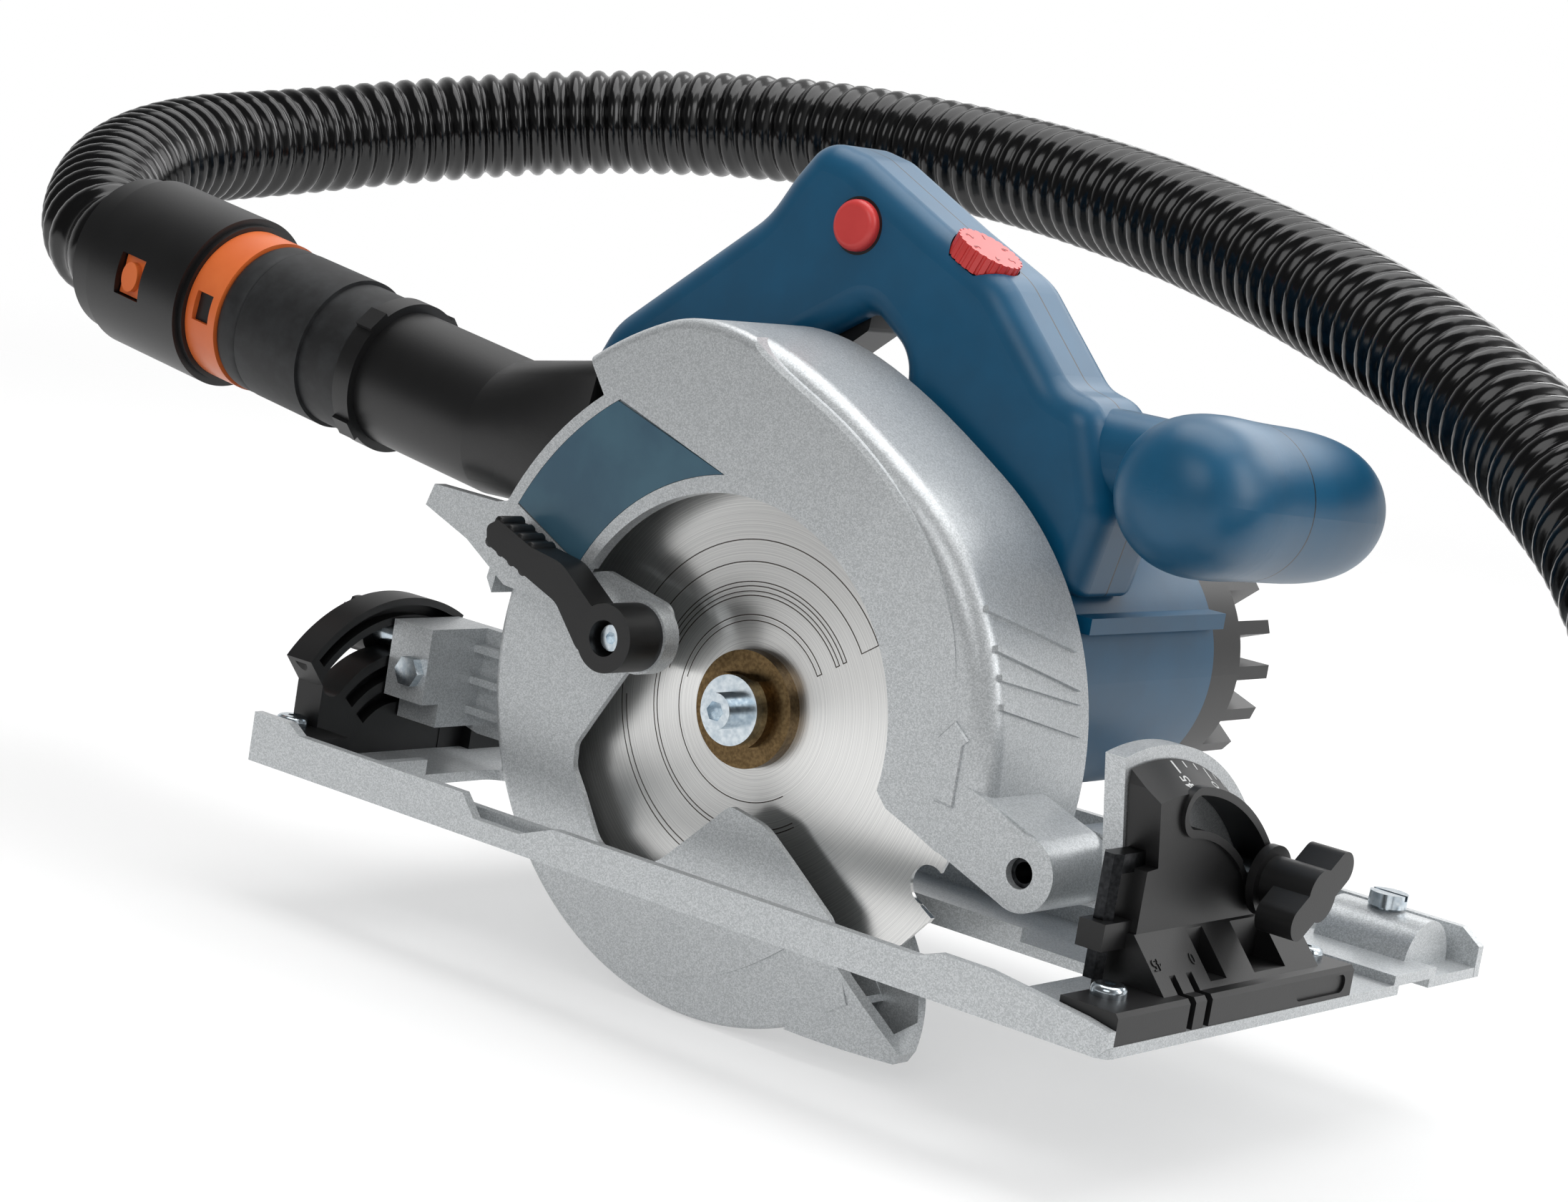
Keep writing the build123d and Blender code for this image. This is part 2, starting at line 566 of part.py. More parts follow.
def upper_guard():
    wall_floor = [(-78, 40), (-24, 21), (24, 21)]
    open_floor = [(-100, -20), (95, -20)]
    g = slab_y(guard_outline(0, wall_floor), GUARD_NEAR, GUARD_RIM)
    rim = g.edges().filter_by_position(Axis.Y, GUARD_NEAR, GUARD_NEAR)
    outer = [e for e in rim if (e @ 0.5 - Vector(0, GUARD_NEAR, ARBOR_Z)).length > GUARD_R - 1
             and e.geom_type != GeomType.LINE and (e @ 0.5).X > -60]
    g = fillet(outer, GUARD_EDGE_R)
    g += raised_face(wall_floor)
    g += rim_bars()
    g -= slab_y(guard_outline(GUARD_WALL, open_floor), GUARD_NEAR + GUARD_WALL, GUARD_BACK)
    skirt = guard_outline(GUARD_WALL, open_floor)
    g -= slab_y(skirt, GUARD_BACK + GUARD_WALL, GUARD_RIM + 1)
    behind = face([(0, ARBOR_Z), polar(220, GUARD_STEP_DEG), (-220, 120), (-220, -40), (0, -40)])
    g -= slab_y(behind, GUARD_BACK + GUARD_WALL, GUARD_RIM + 1)
    # the near wall is cut back to the opening, the front corner and the tail strip
    below = face([(50, 43), (57.7, 35), (67.5, 31.3), (97, 19), (97, -60), (-160, -60), (-160, 80.2),
                  (-116.8, 80.2), (-99.3, 73.8), (-83, 64), (-60, 61.9), (-54.2, 75.4), (-10, 55)])
    cut = below + Pos(*OPENING_C) * Circle(OPENING_R)
    tail = face([(-70, 92), (-90, 86.5), (-114.5, 86.7), (-116.8, 80.2), (-99.3, 73.8), (-83, 64),
                 (-66, 62.4)])
    g += slab_y(tail, FACE_NEAR, GUARD_NEAR + GUARD_WALL)
    g -= slab_y(cut, FACE_NEAR - 1, GUARD_NEAR + GUARD_WALL)
    # front boss of the depth pivot with its web
    web = face([(67.5, 31.3), (97.2, 20.1), (101.5, PIVOT_Z), (109, 36), (88, 45), (70, 50)])
    g += slab_y(web, GUARD_NEAR, GUARD_NEAR + GUARD_WALL)
    g += slab_y(hull((PIVOT_X, PIVOT_Z, PIVOT_BOSS_R), (86.5, 40, 5)), GUARD_NEAR + 1, BOSS_NEAR + 8.6)
    g += rod_y(PIVOT_X, PIVOT_Z, PIVOT_BOSS_R, GUARD_NEAR, 14.0)
    g -= rod_y(PIVOT_X, PIVOT_Z, PIVOT_PIN_R + RUN, GUARD_NEAR - 1, 15)
    # boss that carries the spindle bearing and the lower guard
    g += rod_y(0, ARBOR_Z, BOSS_R, BOSS_NEAR, BOSS_FAR)
    g -= rod_y(0, ARBOR_Z, FRONT_BEARING[1], FRONT_BEARING[3], BOSS_FAR + 1)
    g -= rod_y(0, ARBOR_Z, 13.5, BOSS_NEAR - 1, BOSS_FAR)
    # gear case behind the back wall
    case = hull((0, ARBOR_Z, GEAR_CASE_R), (MIDDLE_X, MIDDLE_Z, MIDDLE_CASE_R),
                (MOTOR_X, MOTOR_Z, PINION_CASE_R))
    room = offset(case, amount=-GEAR_CASE_WALL)
    g += slab_y(case - room, GUARD_BACK + GUARD_WALL, GUARD_RIM)
    floor = room - Pos(0, ARBOR_Z) * Circle(BOSS_R)
    g += slab_y(floor, GUARD_BACK, GUARD_BACK + GUARD_WALL)
    g += rod_y(MIDDLE_X, MIDDLE_Z, 7, GUARD_BACK, GUARD_BACK + GUARD_WALL + 1.8)
    g -= rod_y(MIDDLE_X, MIDDLE_Z, MIDDLE_SHAFT_R + RUN, GUARD_BACK + 0.3, GUARD_RIM)
    # dust outlet through the rear wall, panel seat and depth clamp hole
    g -= dust_rod(13.0, -60, 20)
    g -= slab_y(panel_outline(0), FACE_NEAR - 1, FACE_NEAR + 1)
    cx, cz = clamp_point()
    g += rod_y(cx, cz, 9, GUARD_BACK, GUARD_BACK + GUARD_WALL)
    g -= rod_y(cx, cz, CLAMP_BOLT_R + SEAT, GUARD_BACK - 1, GUARD_BACK + GUARD_WALL + 1)
    return g


def panel_outline(inset):
    c = (0, ARBOR_Z)
    r0 = 63.5 + inset
    r1 = 91.5 - inset
    inner = CenterArc(c, r0, 100 + 4 * inset, 54 - 6 * inset)
    outer = CenterArc(c, r1, 124 + 4 * inset, 30 - 6 * inset)
    return make_face([inner, Line(inner @ 1, outer @ 1), outer, Line(outer @ 0, inner @ 0)])


def guard_panel():
    return slab_y(panel_outline(0.15), FACE_NEAR, FACE_NEAR + 1)


def clamp_point():
    a = math.radians(CLAMP_DEG)
    return (PIVOT_X + CLAMP_R * math.cos(a), PIVOT_Z + CLAMP_R * math.sin(a))


def depth_clamp_bolt():
    x, z = clamp_point()
    b = rod_y(x, z, CLAMP_BOLT_R, GUARD_BACK, 31.0)
    return b + slab_y(Pos(x, z) * hexagon(11), GUARD_BACK - 2.4, GUARD_BACK)


def depth_clamp_lever():
    x, z = clamp_point()
    lever = rod_y(x, z, 8.5, ARC_PLATE_Y[1] + GAP, 32.0)
    arm = hull((x, z, 6.0), (x - 3, z + 36, 5.0))
    lever += slab_y(arm, 23.5, 31.0)
    return lever - rod_y(x, z, CLAMP_BOLT_R + RUN, 15, 31.05)


# lower guard

def lower_guard():
    c = (0, ARBOR_Z)
    a0, a1 = LOWER_DEG
    inner = [(44, 0.5), (26.7, 13.1), (17.5, 19.5), (5.0, 21.8), (-15.9, 1.0), (-28, -5), (-39.3, 0.6),
             (-46.7, 11.9), (-51.6, 18.6), (-52, 25), (-47.6, 32.7), (-38, 49), (-24, 56), (-26, 70),
             (-50, 75)]
    start = polar(LOWER_R, a1)
    end = polar(LOWER_R, a0)
    radii = [6, 14, 14, 3, 14, 12, 10, 8, 6, 4, 8, 5, 4, 5, 4]
    edge = rounded([start] + inner + [end], [0] + radii + [0], closed=False)
    near = make_face([CenterArc(c, LOWER_R, a0, a1 - a0)] + edge)
    g = slab_y(near, LOWER_NEAR, LOWER_NEAR + LOWER_WALL)
    # outer rim and back wall
    g += slab_y(band(LOWER_R - LOWER_WALL, LOWER_R, a0, a1, c), LOWER_NEAR, LOWER_FAR)
    back = band(52.0, LOWER_R, a0, a1, c) + Pos(*c) * Circle(HUB_R)
    back += band(20.0, 60.0, a0 + 10, a1 - 20, c)
    g += slab_y(back, LOWER_FAR - LOWER_WALL, LOWER_FAR)
    g += rod_y(0, ARBOR_Z, HUB_R, 6.0, LOWER_FAR)
    g -= rod_y(0, ARBOR_Z, BOSS_R + RUN, 4, LOWER_FAR + 1)
    corner = slab_y(Pos(*c) * (Circle(LOWER_R + 1) - Circle(LOWER_R - LOWER_EDGE_R)),
                    LOWER_NEAR - 1, LOWER_NEAR + LOWER_EDGE_R)
    turn = Pos(0, LOWER_NEAR + LOWER_EDGE_R, ARBOR_Z) * Rot(90, 0, 0)
    g -= corner - turn * Torus(LOWER_R - LOWER_EDGE_R, LOWER_EDGE_R)
    # below a crease the near wall lies a little deeper
    crease = Spline(*CREASE)
    below = [crease @ 1, polar(100, 330), polar(120, 290), polar(100, 235), crease @ 0]
    lines = [Line(a, b) for a, b in zip(below[:-1], below[1:])]
    g -= slab_y(make_face([crease] + lines), LOWER_NEAR - 1, LOWER_NEAR + CREASE_DEPTH)
    # front horn that lifts the guard over the work
    g += horn()
    # post for the lever
    g += rod_y(LEVER_X, LEVER_Z, LEVER_BOSS_R + 0.8, LEVER_Y[1], LOWER_NEAR)
    g -= rod_y(LEVER_X, LEVER_Z, 1.9, LEVER_Y[1] - 1, LOWER_NEAR + 1)
    return g


def horn_section(s, near, far, low, near_top, far_top):
    """Four-sided section of the horn at s along it, given by its sides and the tops of its two walls."""
    root = Vector(*polar(*HORN_ROOT))
    ahead = (Vector(*polar(*HORN_TIP)) - root).normalized()
    at = root + ahead * s
    plane = Plane(origin=(at.X, 0, at.Y), x_dir=(0, 1, 0), z_dir=(ahead.X, 0, ahead.Y))
    return plane * face([(near, low), (far, low), (far, far_top), (near, near_top)])


def horn():
    """Hollow beak that lifts the guard over the work, open upwards, with a near, a lower and a far wall."""
    beak = loft([horn_section(-2, LOWER_NEAR, LOWER_FAR, -16.5, 9, 24),
                 horn_section(12, -8.0, 9.0, -9, 6, 17),
                 horn_section(20, -5.8, 7.6, -4.6, 4, 10),
                 horn_section(26, -2.6, 4.2, -1.6, 1.6, 2.4)])
    hollow = loft([horn_section(-6, LOWER_NEAR + 2, LOWER_FAR - 2, -15.5, 40, 40),
                   horn_section(12, -5.8, 7.0, -6.5, 36, 36),
                   horn_section(21, -2.8, 5.0, -1.6, 30, 30)])
    return beak - hollow


def guard_lever():
    boss = rod_y(LEVER_X, LEVER_Z, LEVER_BOSS_R, *LEVER_Y)
    arm = face([(-26, 66), (-38, 67), (-52, 77), (-64, 79), (-77, 84), (-81, 81.5), (-80, 76.5), (-64, 70.5),
                (-52, 66), (-42, 55), (-34, 53)], [3, 8, 10, 6, 2, 2, 3, 8, 8, 6, 3])
    lever = boss + slab_y(arm, LEVER_Y[0] + 2, LEVER_Y[0] + 12)
    for i in range(4):
        lever -= rod_y(-62 - 4.4 * i, 80.8 + 1.3 * i, 1.5, LEVER_Y[0] - 1, LEVER_Y[1])
    lever -= rod_y(LEVER_X, LEVER_Z, 5.0, LEVER_Y[0] - 1, LEVER_Y[0] + 6)
    return lever - rod_y(LEVER_X, LEVER_Z, 2.2, LEVER_Y[0], LEVER_Y[1] + 1)


def lever_screw():
    s = rod_y(LEVER_X, LEVER_Z, 3.6, LEVER_Y[0] + 3.2, LEVER_Y[0] + 6)
    s += rod_y(LEVER_X, LEVER_Z, 1.88, LEVER_Y[0] + 6, LOWER_NEAR - 0.5)
    return s - slab_y(Pos(LEVER_X, LEVER_Z) * hexagon(3.2), LEVER_Y[0] + 3, LEVER_Y[0] + 5)


def guard_retainer():
    ring = Circle(22.4) - Circle(18.2)
    ring -= Pos(0, 21) * Rectangle(5, 8)
    return slab_y(Pos(0, ARBOR_Z) * ring, BOSS_NEAR - 0.9, BOSS_NEAR)


def guard_spring():
    coil = Helix(pitch=1.5, height=1.5, radius=22.2, center=(0, 10.75, ARBOR_Z), direction=(0, 1, 0))
    section = Plane(origin=coil @ 0, z_dir=coil % 0) * Circle(0.55)
    return sweep(section, path=coil, is_frenet=True)


# handle

def handle_outline():
    points = [(71, 93), (76, 117), (66, 145), (54, 148), (41, 161.5), (30, 173), (6, 184), (-24, 199),
              (-38, 202), (-47, 190), (-54, 178), (-84, 154), (-104, 138), (-113, 120), (-100, 104),
              (-60, 92)]
    radii = [2, 12, 14, 12, 25, 20, 60, 12, 10, 30, 30, 80, 22, 16, 14, 30]
    hole = [(-12, 157), (2, 147), (6, 112), (-68, 112), (-74, 117)]
    return face(points, radii), face(hole, [5, 12, 12, 10, 6])


def trigger_slot():
    return face([(-17, 161), (-12, 152), (-58, 118), (-66, 128)])


def handle_shell(y0, y1, near):
    outline, hole = handle_outline()
    solid = slab_y(outline - hole, y0, y1)
    rim = y0 if near else y1
    solid = fillet(solid.edges().filter_by_position(Axis.Y, rim, rim), HANDLE_EDGE_R)
    inside = offset(outline - hole, amount=-SHELL_WALL)
    if near:
        hollow = slab_y(inside, y0 + SHELL_WALL + 2, y1 + 1)
    else:
        hollow = slab_y(inside, y0 - 1, y1 - SHELL_WALL - 2)
    solid -= hollow
    solid -= slab_y(trigger_slot(), HANDLE_MID - 8.4, HANDLE_MID + 8.4)
    solid -= rod_y(MOTOR_X, MOTOR_Z, MOTOR_R + SEAT, y0 - 1, y1 + 1)
    solid -= slab_y(hull((0, ARBOR_Z, GEAR_CASE_R + SEAT), (MOTOR_X, MOTOR_Z, MOTOR_R + SEAT)), y0 - 1, 38.6)
    return solid


def bulb():
    """Ball grip turned about an axis near Y, blunt at its far end, with its neck."""
    dome = Spline((0, BULB_Y[0]), (BULB_R, 31), (BULB_R - 0.3, HANDLE_MID),
                  tangents=((1, 0), (0.05, 1), (-0.02, 1)))
    taper = Spline(dome @ 1, (19.6, 92), tangents=((-0.02, 1), (-0.16, 1)))
    nose = Spline(taper @ 1, (12.0, BULB_Y[1] - 1.5), (0, BULB_Y[1]), tangents=((-0.16, 1), (-1, 0)))
    half = make_face([dome, taper, nose, Line((0, BULB_Y[1]), (0, BULB_Y[0]))])
    turned = Pos(0, -HANDLE_MID, 0) * revolve(half, Axis.Y)
    grip = Pos(BULB_X, HANDLE_MID, BULB_Z) * Rot(-BULB_DIP, 0, 0) * turned
    neck = block(58, BULB_X - 4, 41, 67, 118, 144)
    neck = fillet(neck.edges().filter_by(Axis.X), 11)
    return grip + neck


def handle_near_shell():
    grip = bulb() & block(0, 200, -20, HANDLE_MID - SEAT, 60, 200)
    shell = handle_shell(HANDLE_NEAR, HANDLE_MID - SEAT, True) + grip
    shell -= rod_y(*BUTTON_AT, BUTTON_R + RUN, HANDLE_NEAR - 1, HANDLE_NEAR + 8)
    return shell - dial_room()


def handle_far_shell():
    grip = bulb() & block(0, 200, HANDLE_MID + SEAT, 120, 60, 200)
    shell = handle_shell(HANDLE_MID + SEAT, HANDLE_FAR, False) + grip
    for x, z in SHELL_SCREWS:
        shell -= rod_y(x, z, SCREW_HEAD_R + SEAT, HANDLE_FAR - 1, HANDLE_FAR + 9)
    return shell - dial_room()


def dial_plane():
    t = math.radians(DIAL_TILT)
    return Plane(origin=DIAL_AT, x_dir=(0, 1, 0), z_dir=(math.sin(t), 0, math.cos(t)))


def dial_room():
    return extrude(dial_plane() * Circle(DIAL_R + GAP), amount=DIAL_T + 8) + extrude(
        dial_plane() * Circle(DIAL_R + GAP), amount=-GAP)


def speed_dial():
    disc = Circle(DIAL_R)
    for i in range(24):
        disc -= Rot(0, 0, i * 15) * Pos(DIAL_R, 0) * Circle(0.6)
    return extrude(dial_plane() * disc, amount=DIAL_T)


def lock_off_button():
    b = rod_y(*BUTTON_AT, BUTTON_R, HANDLE_NEAR - 3.2, HANDLE_NEAR + 7)
    return fillet(b.edges().group_by(Axis.Y)[0], 2.0)


def trigger():
    body = face([(-15.5, 160), (-16, 151), (-28, 141), (-42, 131), (-55, 120.5), (-62, 127), (-40, 147),
                 (-22, 162)], [1, 2, 6, 10, 3, 2, 8, 2])
    t = slab_y(body, HANDLE_MID - 8, HANDLE_MID + 8)
    return t - rod_y(*TRIGGER_PIVOT, 1.6 + RUN, HANDLE_MID - 9, HANDLE_MID + 9)


def switch_block():
    body = face([(-44, 164), (-58, 152), (-46, 149), (-36, 156)])
    skin = SHELL_WALL + 2
    s = slab_y(body, HANDLE_NEAR + skin + SEAT, HANDLE_FAR - skin - SEAT)
    pin = rod_y(*TRIGGER_PIVOT, 1.6, HANDLE_MID - 11.5, HANDLE_MID + 11.5)
    return s, pin


def housing_screws():
    parts = []
    for x, z in SHELL_SCREWS:
        head = rod_y(x, z, SCREW_HEAD_R, HANDLE_FAR - 1.0, HANDLE_FAR + 1.4)
        parts.append(head - slab_y(Pos(x, z) * hexagon(3.2), HANDLE_FAR + 0.2, HANDLE_FAR + 2))
    return Compound(parts)


# base and tilt parts

def base_plate():
    x0, x1 = BASE_X
    y0, y1 = BASE_Y
    middle = ((x0 + x1) / 2, (y0 + y1) / 2)
    plate = slab_z(Pos(*middle) * RectangleRounded(x1 - x0, y1 - y0, 4), 0, SOLE_T)
    opening = RectangleRounded(OPEN_X[1] - OPEN_X[0], OPEN_Y[1] - OPEN_Y[0], 8)
    plate -= slab_z(Pos(sum(OPEN_X) / 2, sum(OPEN_Y) / 2) * opening, -1, SOLE_T + 1)
    near = face([(x0, 0), (112, 0), (115, 3.0), (133, 3.0), (136, 0), (152, 0), (x1, 3), (x1, 7), (147, 8.5),
                 (118, 12), (103, 12), (97, 9.8), (-25, 9.8), (-37, 5.5), (-53.5, 5.5), (-59, 11.5),
                 (-123, 11.5), (-127.5, 14.3), (x0, 14.3)])
    wall = slab_y(near, y0, y0 + BASE_WALL)
    far = face([(x0, 0), (x1, 0), (x1, 9), (x1 - 6, FAR_WALL_H), (x0, FAR_WALL_H)])
    plate += wall
    plate += slab_y(far, y1 - BASE_WALL, y1)
    # rim ribs along the opening and stiffening ribs
    plate += block(OPEN_X[0], 84, OPEN_Y[1], OPEN_Y[1] + 3, SOLE_T, RIM_RIB_TOP)
    plate += block(OPEN_X[0] - 3, OPEN_X[0], OPEN_Y[0], -12, SOLE_T, 7.5)
    plate += block(-95, 80, OPEN_Y[0] - 3, OPEN_Y[0], SOLE_T, 7.0)
    for y in (58.0, 96.0):
        plate += block(x0 + 4, 118, y, y + 3, SOLE_T, 8.5)
    plate += block(x0, x0 + 3, 60, y1, SOLE_T, 9.0)
    # guide rail channel under the sole
    plate += block(x0, x1, 100, 124, SOLE_T, 5.6)
    plate -= block(x0 - 1, x1 + 1, 103, 121, -1, 2.6)
    # guide clamp bump at the front
    bump = slab_x(Pos(132, 3) * Circle(13), 118, 147) & block(118, 147, 115, 149, SOLE_T, 30)
    plate += bump
    plate -= rod_z(132.5, 132, 3.1, 5, 40)
    for x, y in BASE_SCREWS:
        plate -= rod_z(x, y, 2.2, -1, SOLE_T + 1)
    return plate


def base_screws():
    parts = []
    for x, y in BASE_SCREWS:
        seat = FRONT_SCREW_Z if x > 0 else REAR_SCREW_Z
        head = rod_z(x, y, 4.6, seat, seat + 3.0)
        head = fillet(head.edges().group_by(Axis.Z)[-1], 1.6)
        head += rod_z(x, y, 2.15, 0.5, seat)
        parts.append(head - slab_z(Pos(x, y) * hexagon(2.6), seat + 1, seat + 4))
    return Compound(parts)


def guide_clamp_screw():
    s = rod_z(132.5, 132, 5.5, 16.6, 20.5)
    s += rod_z(132.5, 132, 3.05, 7, 17)
    return s - block(126, 139, 131.2, 132.8, 19, 21)


def front_quadrant():
    a0 = 90.0 - 62.0
    plate = band(20.0, QUAD_R, a0, 104.0)
    plate += face([(-15, 8), (50, 8), (57, 30), (28, 44), (-15, 40)])
    plate &= face([(-15, 3), (70, 3), (70, 70), (-15, 70)])
    q = slab_x(plate, *QUAD_X)
    # the scale is a cone that narrows towards the front
    depth = QUAD_X[1] - QUAD_X[0]
    plane = Plane(origin=(QUAD_X[0], 0, 0), x_dir=(0, 1, 0), z_dir=(1, 0, 0))
    cone = loft([plane * Circle(QUAD_R), plane.offset(depth) * Circle(QUAD_FACE_R)])
    q &= cone
    slot = SlotArc(CenterArc((0, 0), TILT_SLOT_R, 90 - TILT_REST_DEG - 3, TILT_RANGE + 6), 9.0)
    rim = SlotArc(CenterArc((0, 0), TILT_SLOT_R, 90 - TILT_REST_DEG - 3, TILT_RANGE + 6), 13.2) - slot
    q += slab_x(rim, QUAD_X[1] - 1, QUAD_X[1] + 1.2)
    q -= slab_x(slot, QUAD_X[0] - 1, QUAD_X[1] + 2)
    # lower body with its slanted top and the front bar
    slant = face([(QUAD_X[0], SOLE_T), (BAR_X, SOLE_T), (BAR_X, 10.0), (153.5, 11.0), (150.5, FRONT_SCREW_Z),
                  (139.0, 24.0), (QUAD_X[0], 24.0)])
    q += slab_y(slant, -16, 62)
    bar = face([(137.5, SOLE_T), (BAR_X, SOLE_T), (BAR_X, 10.0), (153.5, FRONT_SCREW_Z),
                (137.5, FRONT_SCREW_Z)])
    q += slab_y(bar, -43, 75)
    # groove for the bracket's arc key
    groove = SlotArc(CenterArc((0, 0), KEY_R, 34, 72), KEY_W + 2 * GAP)
    q -= slab_x(groove, QUAD_X[0] - 1, QUAD_X[0] + KEY_H + 0.8)
    # cut line notches, two pockets and a bare label recess
    for y in (-8.0, 0.0):
        q -= block(147, BAR_X + 1, y - 1.4, y + 1.4, SOLE_T - 1, 30)
    q -= block(139.5, 150, 8, 16, 12.5, 40)
    q -= block(139.5, 150, 30, 46, 12.5, 40)
    q -= slab_x(Pos(58, 6.8) * SlotOverall(26, 5), BAR_X - 0.8, BAR_X + 1)
    # clip and socket for the hex key
    q += block(QUAD_X[0], 137.0, -27, -15, 20, 27)
    q -= slab_z(Pos(*KEY_ROD) * hexagon(HEX_AF + 0.1), 10, 50)
    q -= block(KEY_ROD[0] - 2.55, KEY_ROD[0] + 2.55, -27, 0, 38.8, 44.0)
    for x, y in BASE_SCREWS[:2]:
        q -= rod_z(x, y, 2.2, 0, 30)
    return q


def hex_key():
    x, y = KEY_ROD
    long_leg = slab_z(Pos(x, y) * hexagon(HEX_AF), 12.0, 43.9)
    short_leg = block(x - 2.5, x + 2.5, y, -0.5, 38.9, 43.9)
    return long_leg + short_leg


def front_bracket():
    plate = band(1.0, 69.0, 90 - 62, 90 + 15)
    plate += face([(0, 5.5), (50, 5.5), (58, 32), (0, 60)])
    plate &= face([(-17.8, 70), (-20, 46), (-20, 26.5), (1.0, 5.5), (64, 5.5), (64, 70)])
    b = slab_x(plate, *BRACKET_X)
    # lug for the depth pivot and its ribs
    lug = hull((PIVOT_X, PIVOT_Z, PIVOT_BOSS_R), (118.5, PIVOT_Z, 8))
    b += slab_y(lug, *PIVOT_LUG)
    b += block(112, BRACKET_X[0] + 1, PIVOT_LUG[0], PIVOT_LUG[1], 10, 44)
    b -= rod_y(PIVOT_X, PIVOT_Z, PIVOT_PIN_R + SEAT, 10, 40)
    # arc key that guides the tilt
    key = SlotArc(CenterArc((0, 0), KEY_R, 38, 18), KEY_W)
    b += slab_x(key, BRACKET_X[1] - 0.5, QUAD_X[0] + KEY_H)
    y, z = tilt_point(TILT_SLOT_R, TILT_REST_DEG)
    return b - rod_x(y, z, TILT_STUD_R + SEAT, BRACKET_X[0] - 1, BRACKET_X[1] + 1)


def depth_pivot_pin():
    y0 = GUARD_NEAR + 2.5
    pin = Circle(PIVOT_PIN_R) - Circle(PIVOT_PIN_BORE)
    pin -= Pos(PIVOT_PIN_R, 0) * Rectangle(3, 1)
    return slab_y(Pos(PIVOT_X, PIVOT_Z) * pin, y0, PIVOT_LUG[1] - 1)


def bevel_stud_front():
    y, z = tilt_point(TILT_SLOT_R, TILT_REST_DEG)
    s = rod_x(y, z, TILT_STUD_R, BRACKET_X[0], 153.0)
    return s + slab_x(Pos(y, z) * hexagon(13), BRACKET_X[0] - 5, BRACKET_X[0])


def bevel_stud_rear():
    s = rod_x(0, REAR_SLOT_R, TILT_STUD_R, REAR_QUAD_X[0] - 10, REAR_ARM_X[1] - 4)
    return s


def knob(x0, x1, y, z, wing, deg):
    """Hub with two flat wings on a stud along X."""
    hub = rod_x(y, z, 7.0, x0, x1)
    w = Pos(y, z) * Rot(0, 0, deg) * SlotOverall(2 * wing, 9)
    length = (x1 - x0) * 0.62
    return hub, slab_x(w, x1 - length, x1)


def front_bevel_knob():
    y, z = tilt_point(TILT_SLOT_R, TILT_REST_DEG)
    hub, wings = knob(QUAD_X[1] + 1.6, 158.0, y, z, 16, 35)
    k = rod_x(y, z, 9.5, QUAD_X[1] + 1.6, QUAD_X[1] + 4) + hub + wings
    return k - rod_x(y, z, TILT_STUD_R + RUN, QUAD_X[1] - 1, 153.05)


def rear_bevel_knob():
    x0 = REAR_QUAD_X[0] - 12.0
    x1 = REAR_QUAD_X[0] - 0.5
    k = rod_x(0, REAR_SLOT_R, 8.0, x0, x1)
    for i in range(6):
        a = math.radians(60 * i)
        k -= rod_x(9.3 * math.cos(a), REAR_SLOT_R + 9.3 * math.sin(a), 2.2, x0 - 1, x1 - 2)
    return k - rod_x(0, REAR_SLOT_R, TILT_STUD_R + RUN, REAR_QUAD_X[0] - 10.05, x1 + 1)


def rear_quadrant():
    plate = band(15.0, 49.5, 62, 146)
    plate += face([(-41, SOLE_T), (26, SOLE_T), (26, 22), (-20, 30), (-41, 20)])
    plate &= face([(-32.3, SOLE_T), (26, SOLE_T), (26, 60), (-41, 60), (-41, 34), (-32.3, 24)])
    q = slab_x(plate, *REAR_QUAD_X)
    slot = SlotArc(CenterArc((0, 0), REAR_SLOT_R, 87, TILT_RANGE + 6), 9.0)
    q -= slab_x(slot, REAR_QUAD_X[0] - 1, REAR_QUAD_X[1] + 1)
    # recessed fields between ribs on the face towards the blade
    for r0, r1 in ((44.3, 47.3), (25.5, 30.0), (18.0, 22.5)):
        q -= slab_x(band(r0, r1, 66, 138), REAR_QUAD_X[1] - 4, REAR_QUAD_X[1] + 1)
    q += block(REAR_QUAD_X[0], -118, -43, -31, SOLE_T, REAR_SCREW_Z)
    q += block(REAR_QUAD_X[0], -126, 30, 50, SOLE_T, REAR_SCREW_Z)
    q += block(REAR_QUAD_X[0], -129.8, 20, 34, SOLE_T, REAR_SCREW_Z)
    for x, y in BASE_SCREWS[2:]:
        q -= rod_z(x, y, 2.2, 0, 30)
    return q


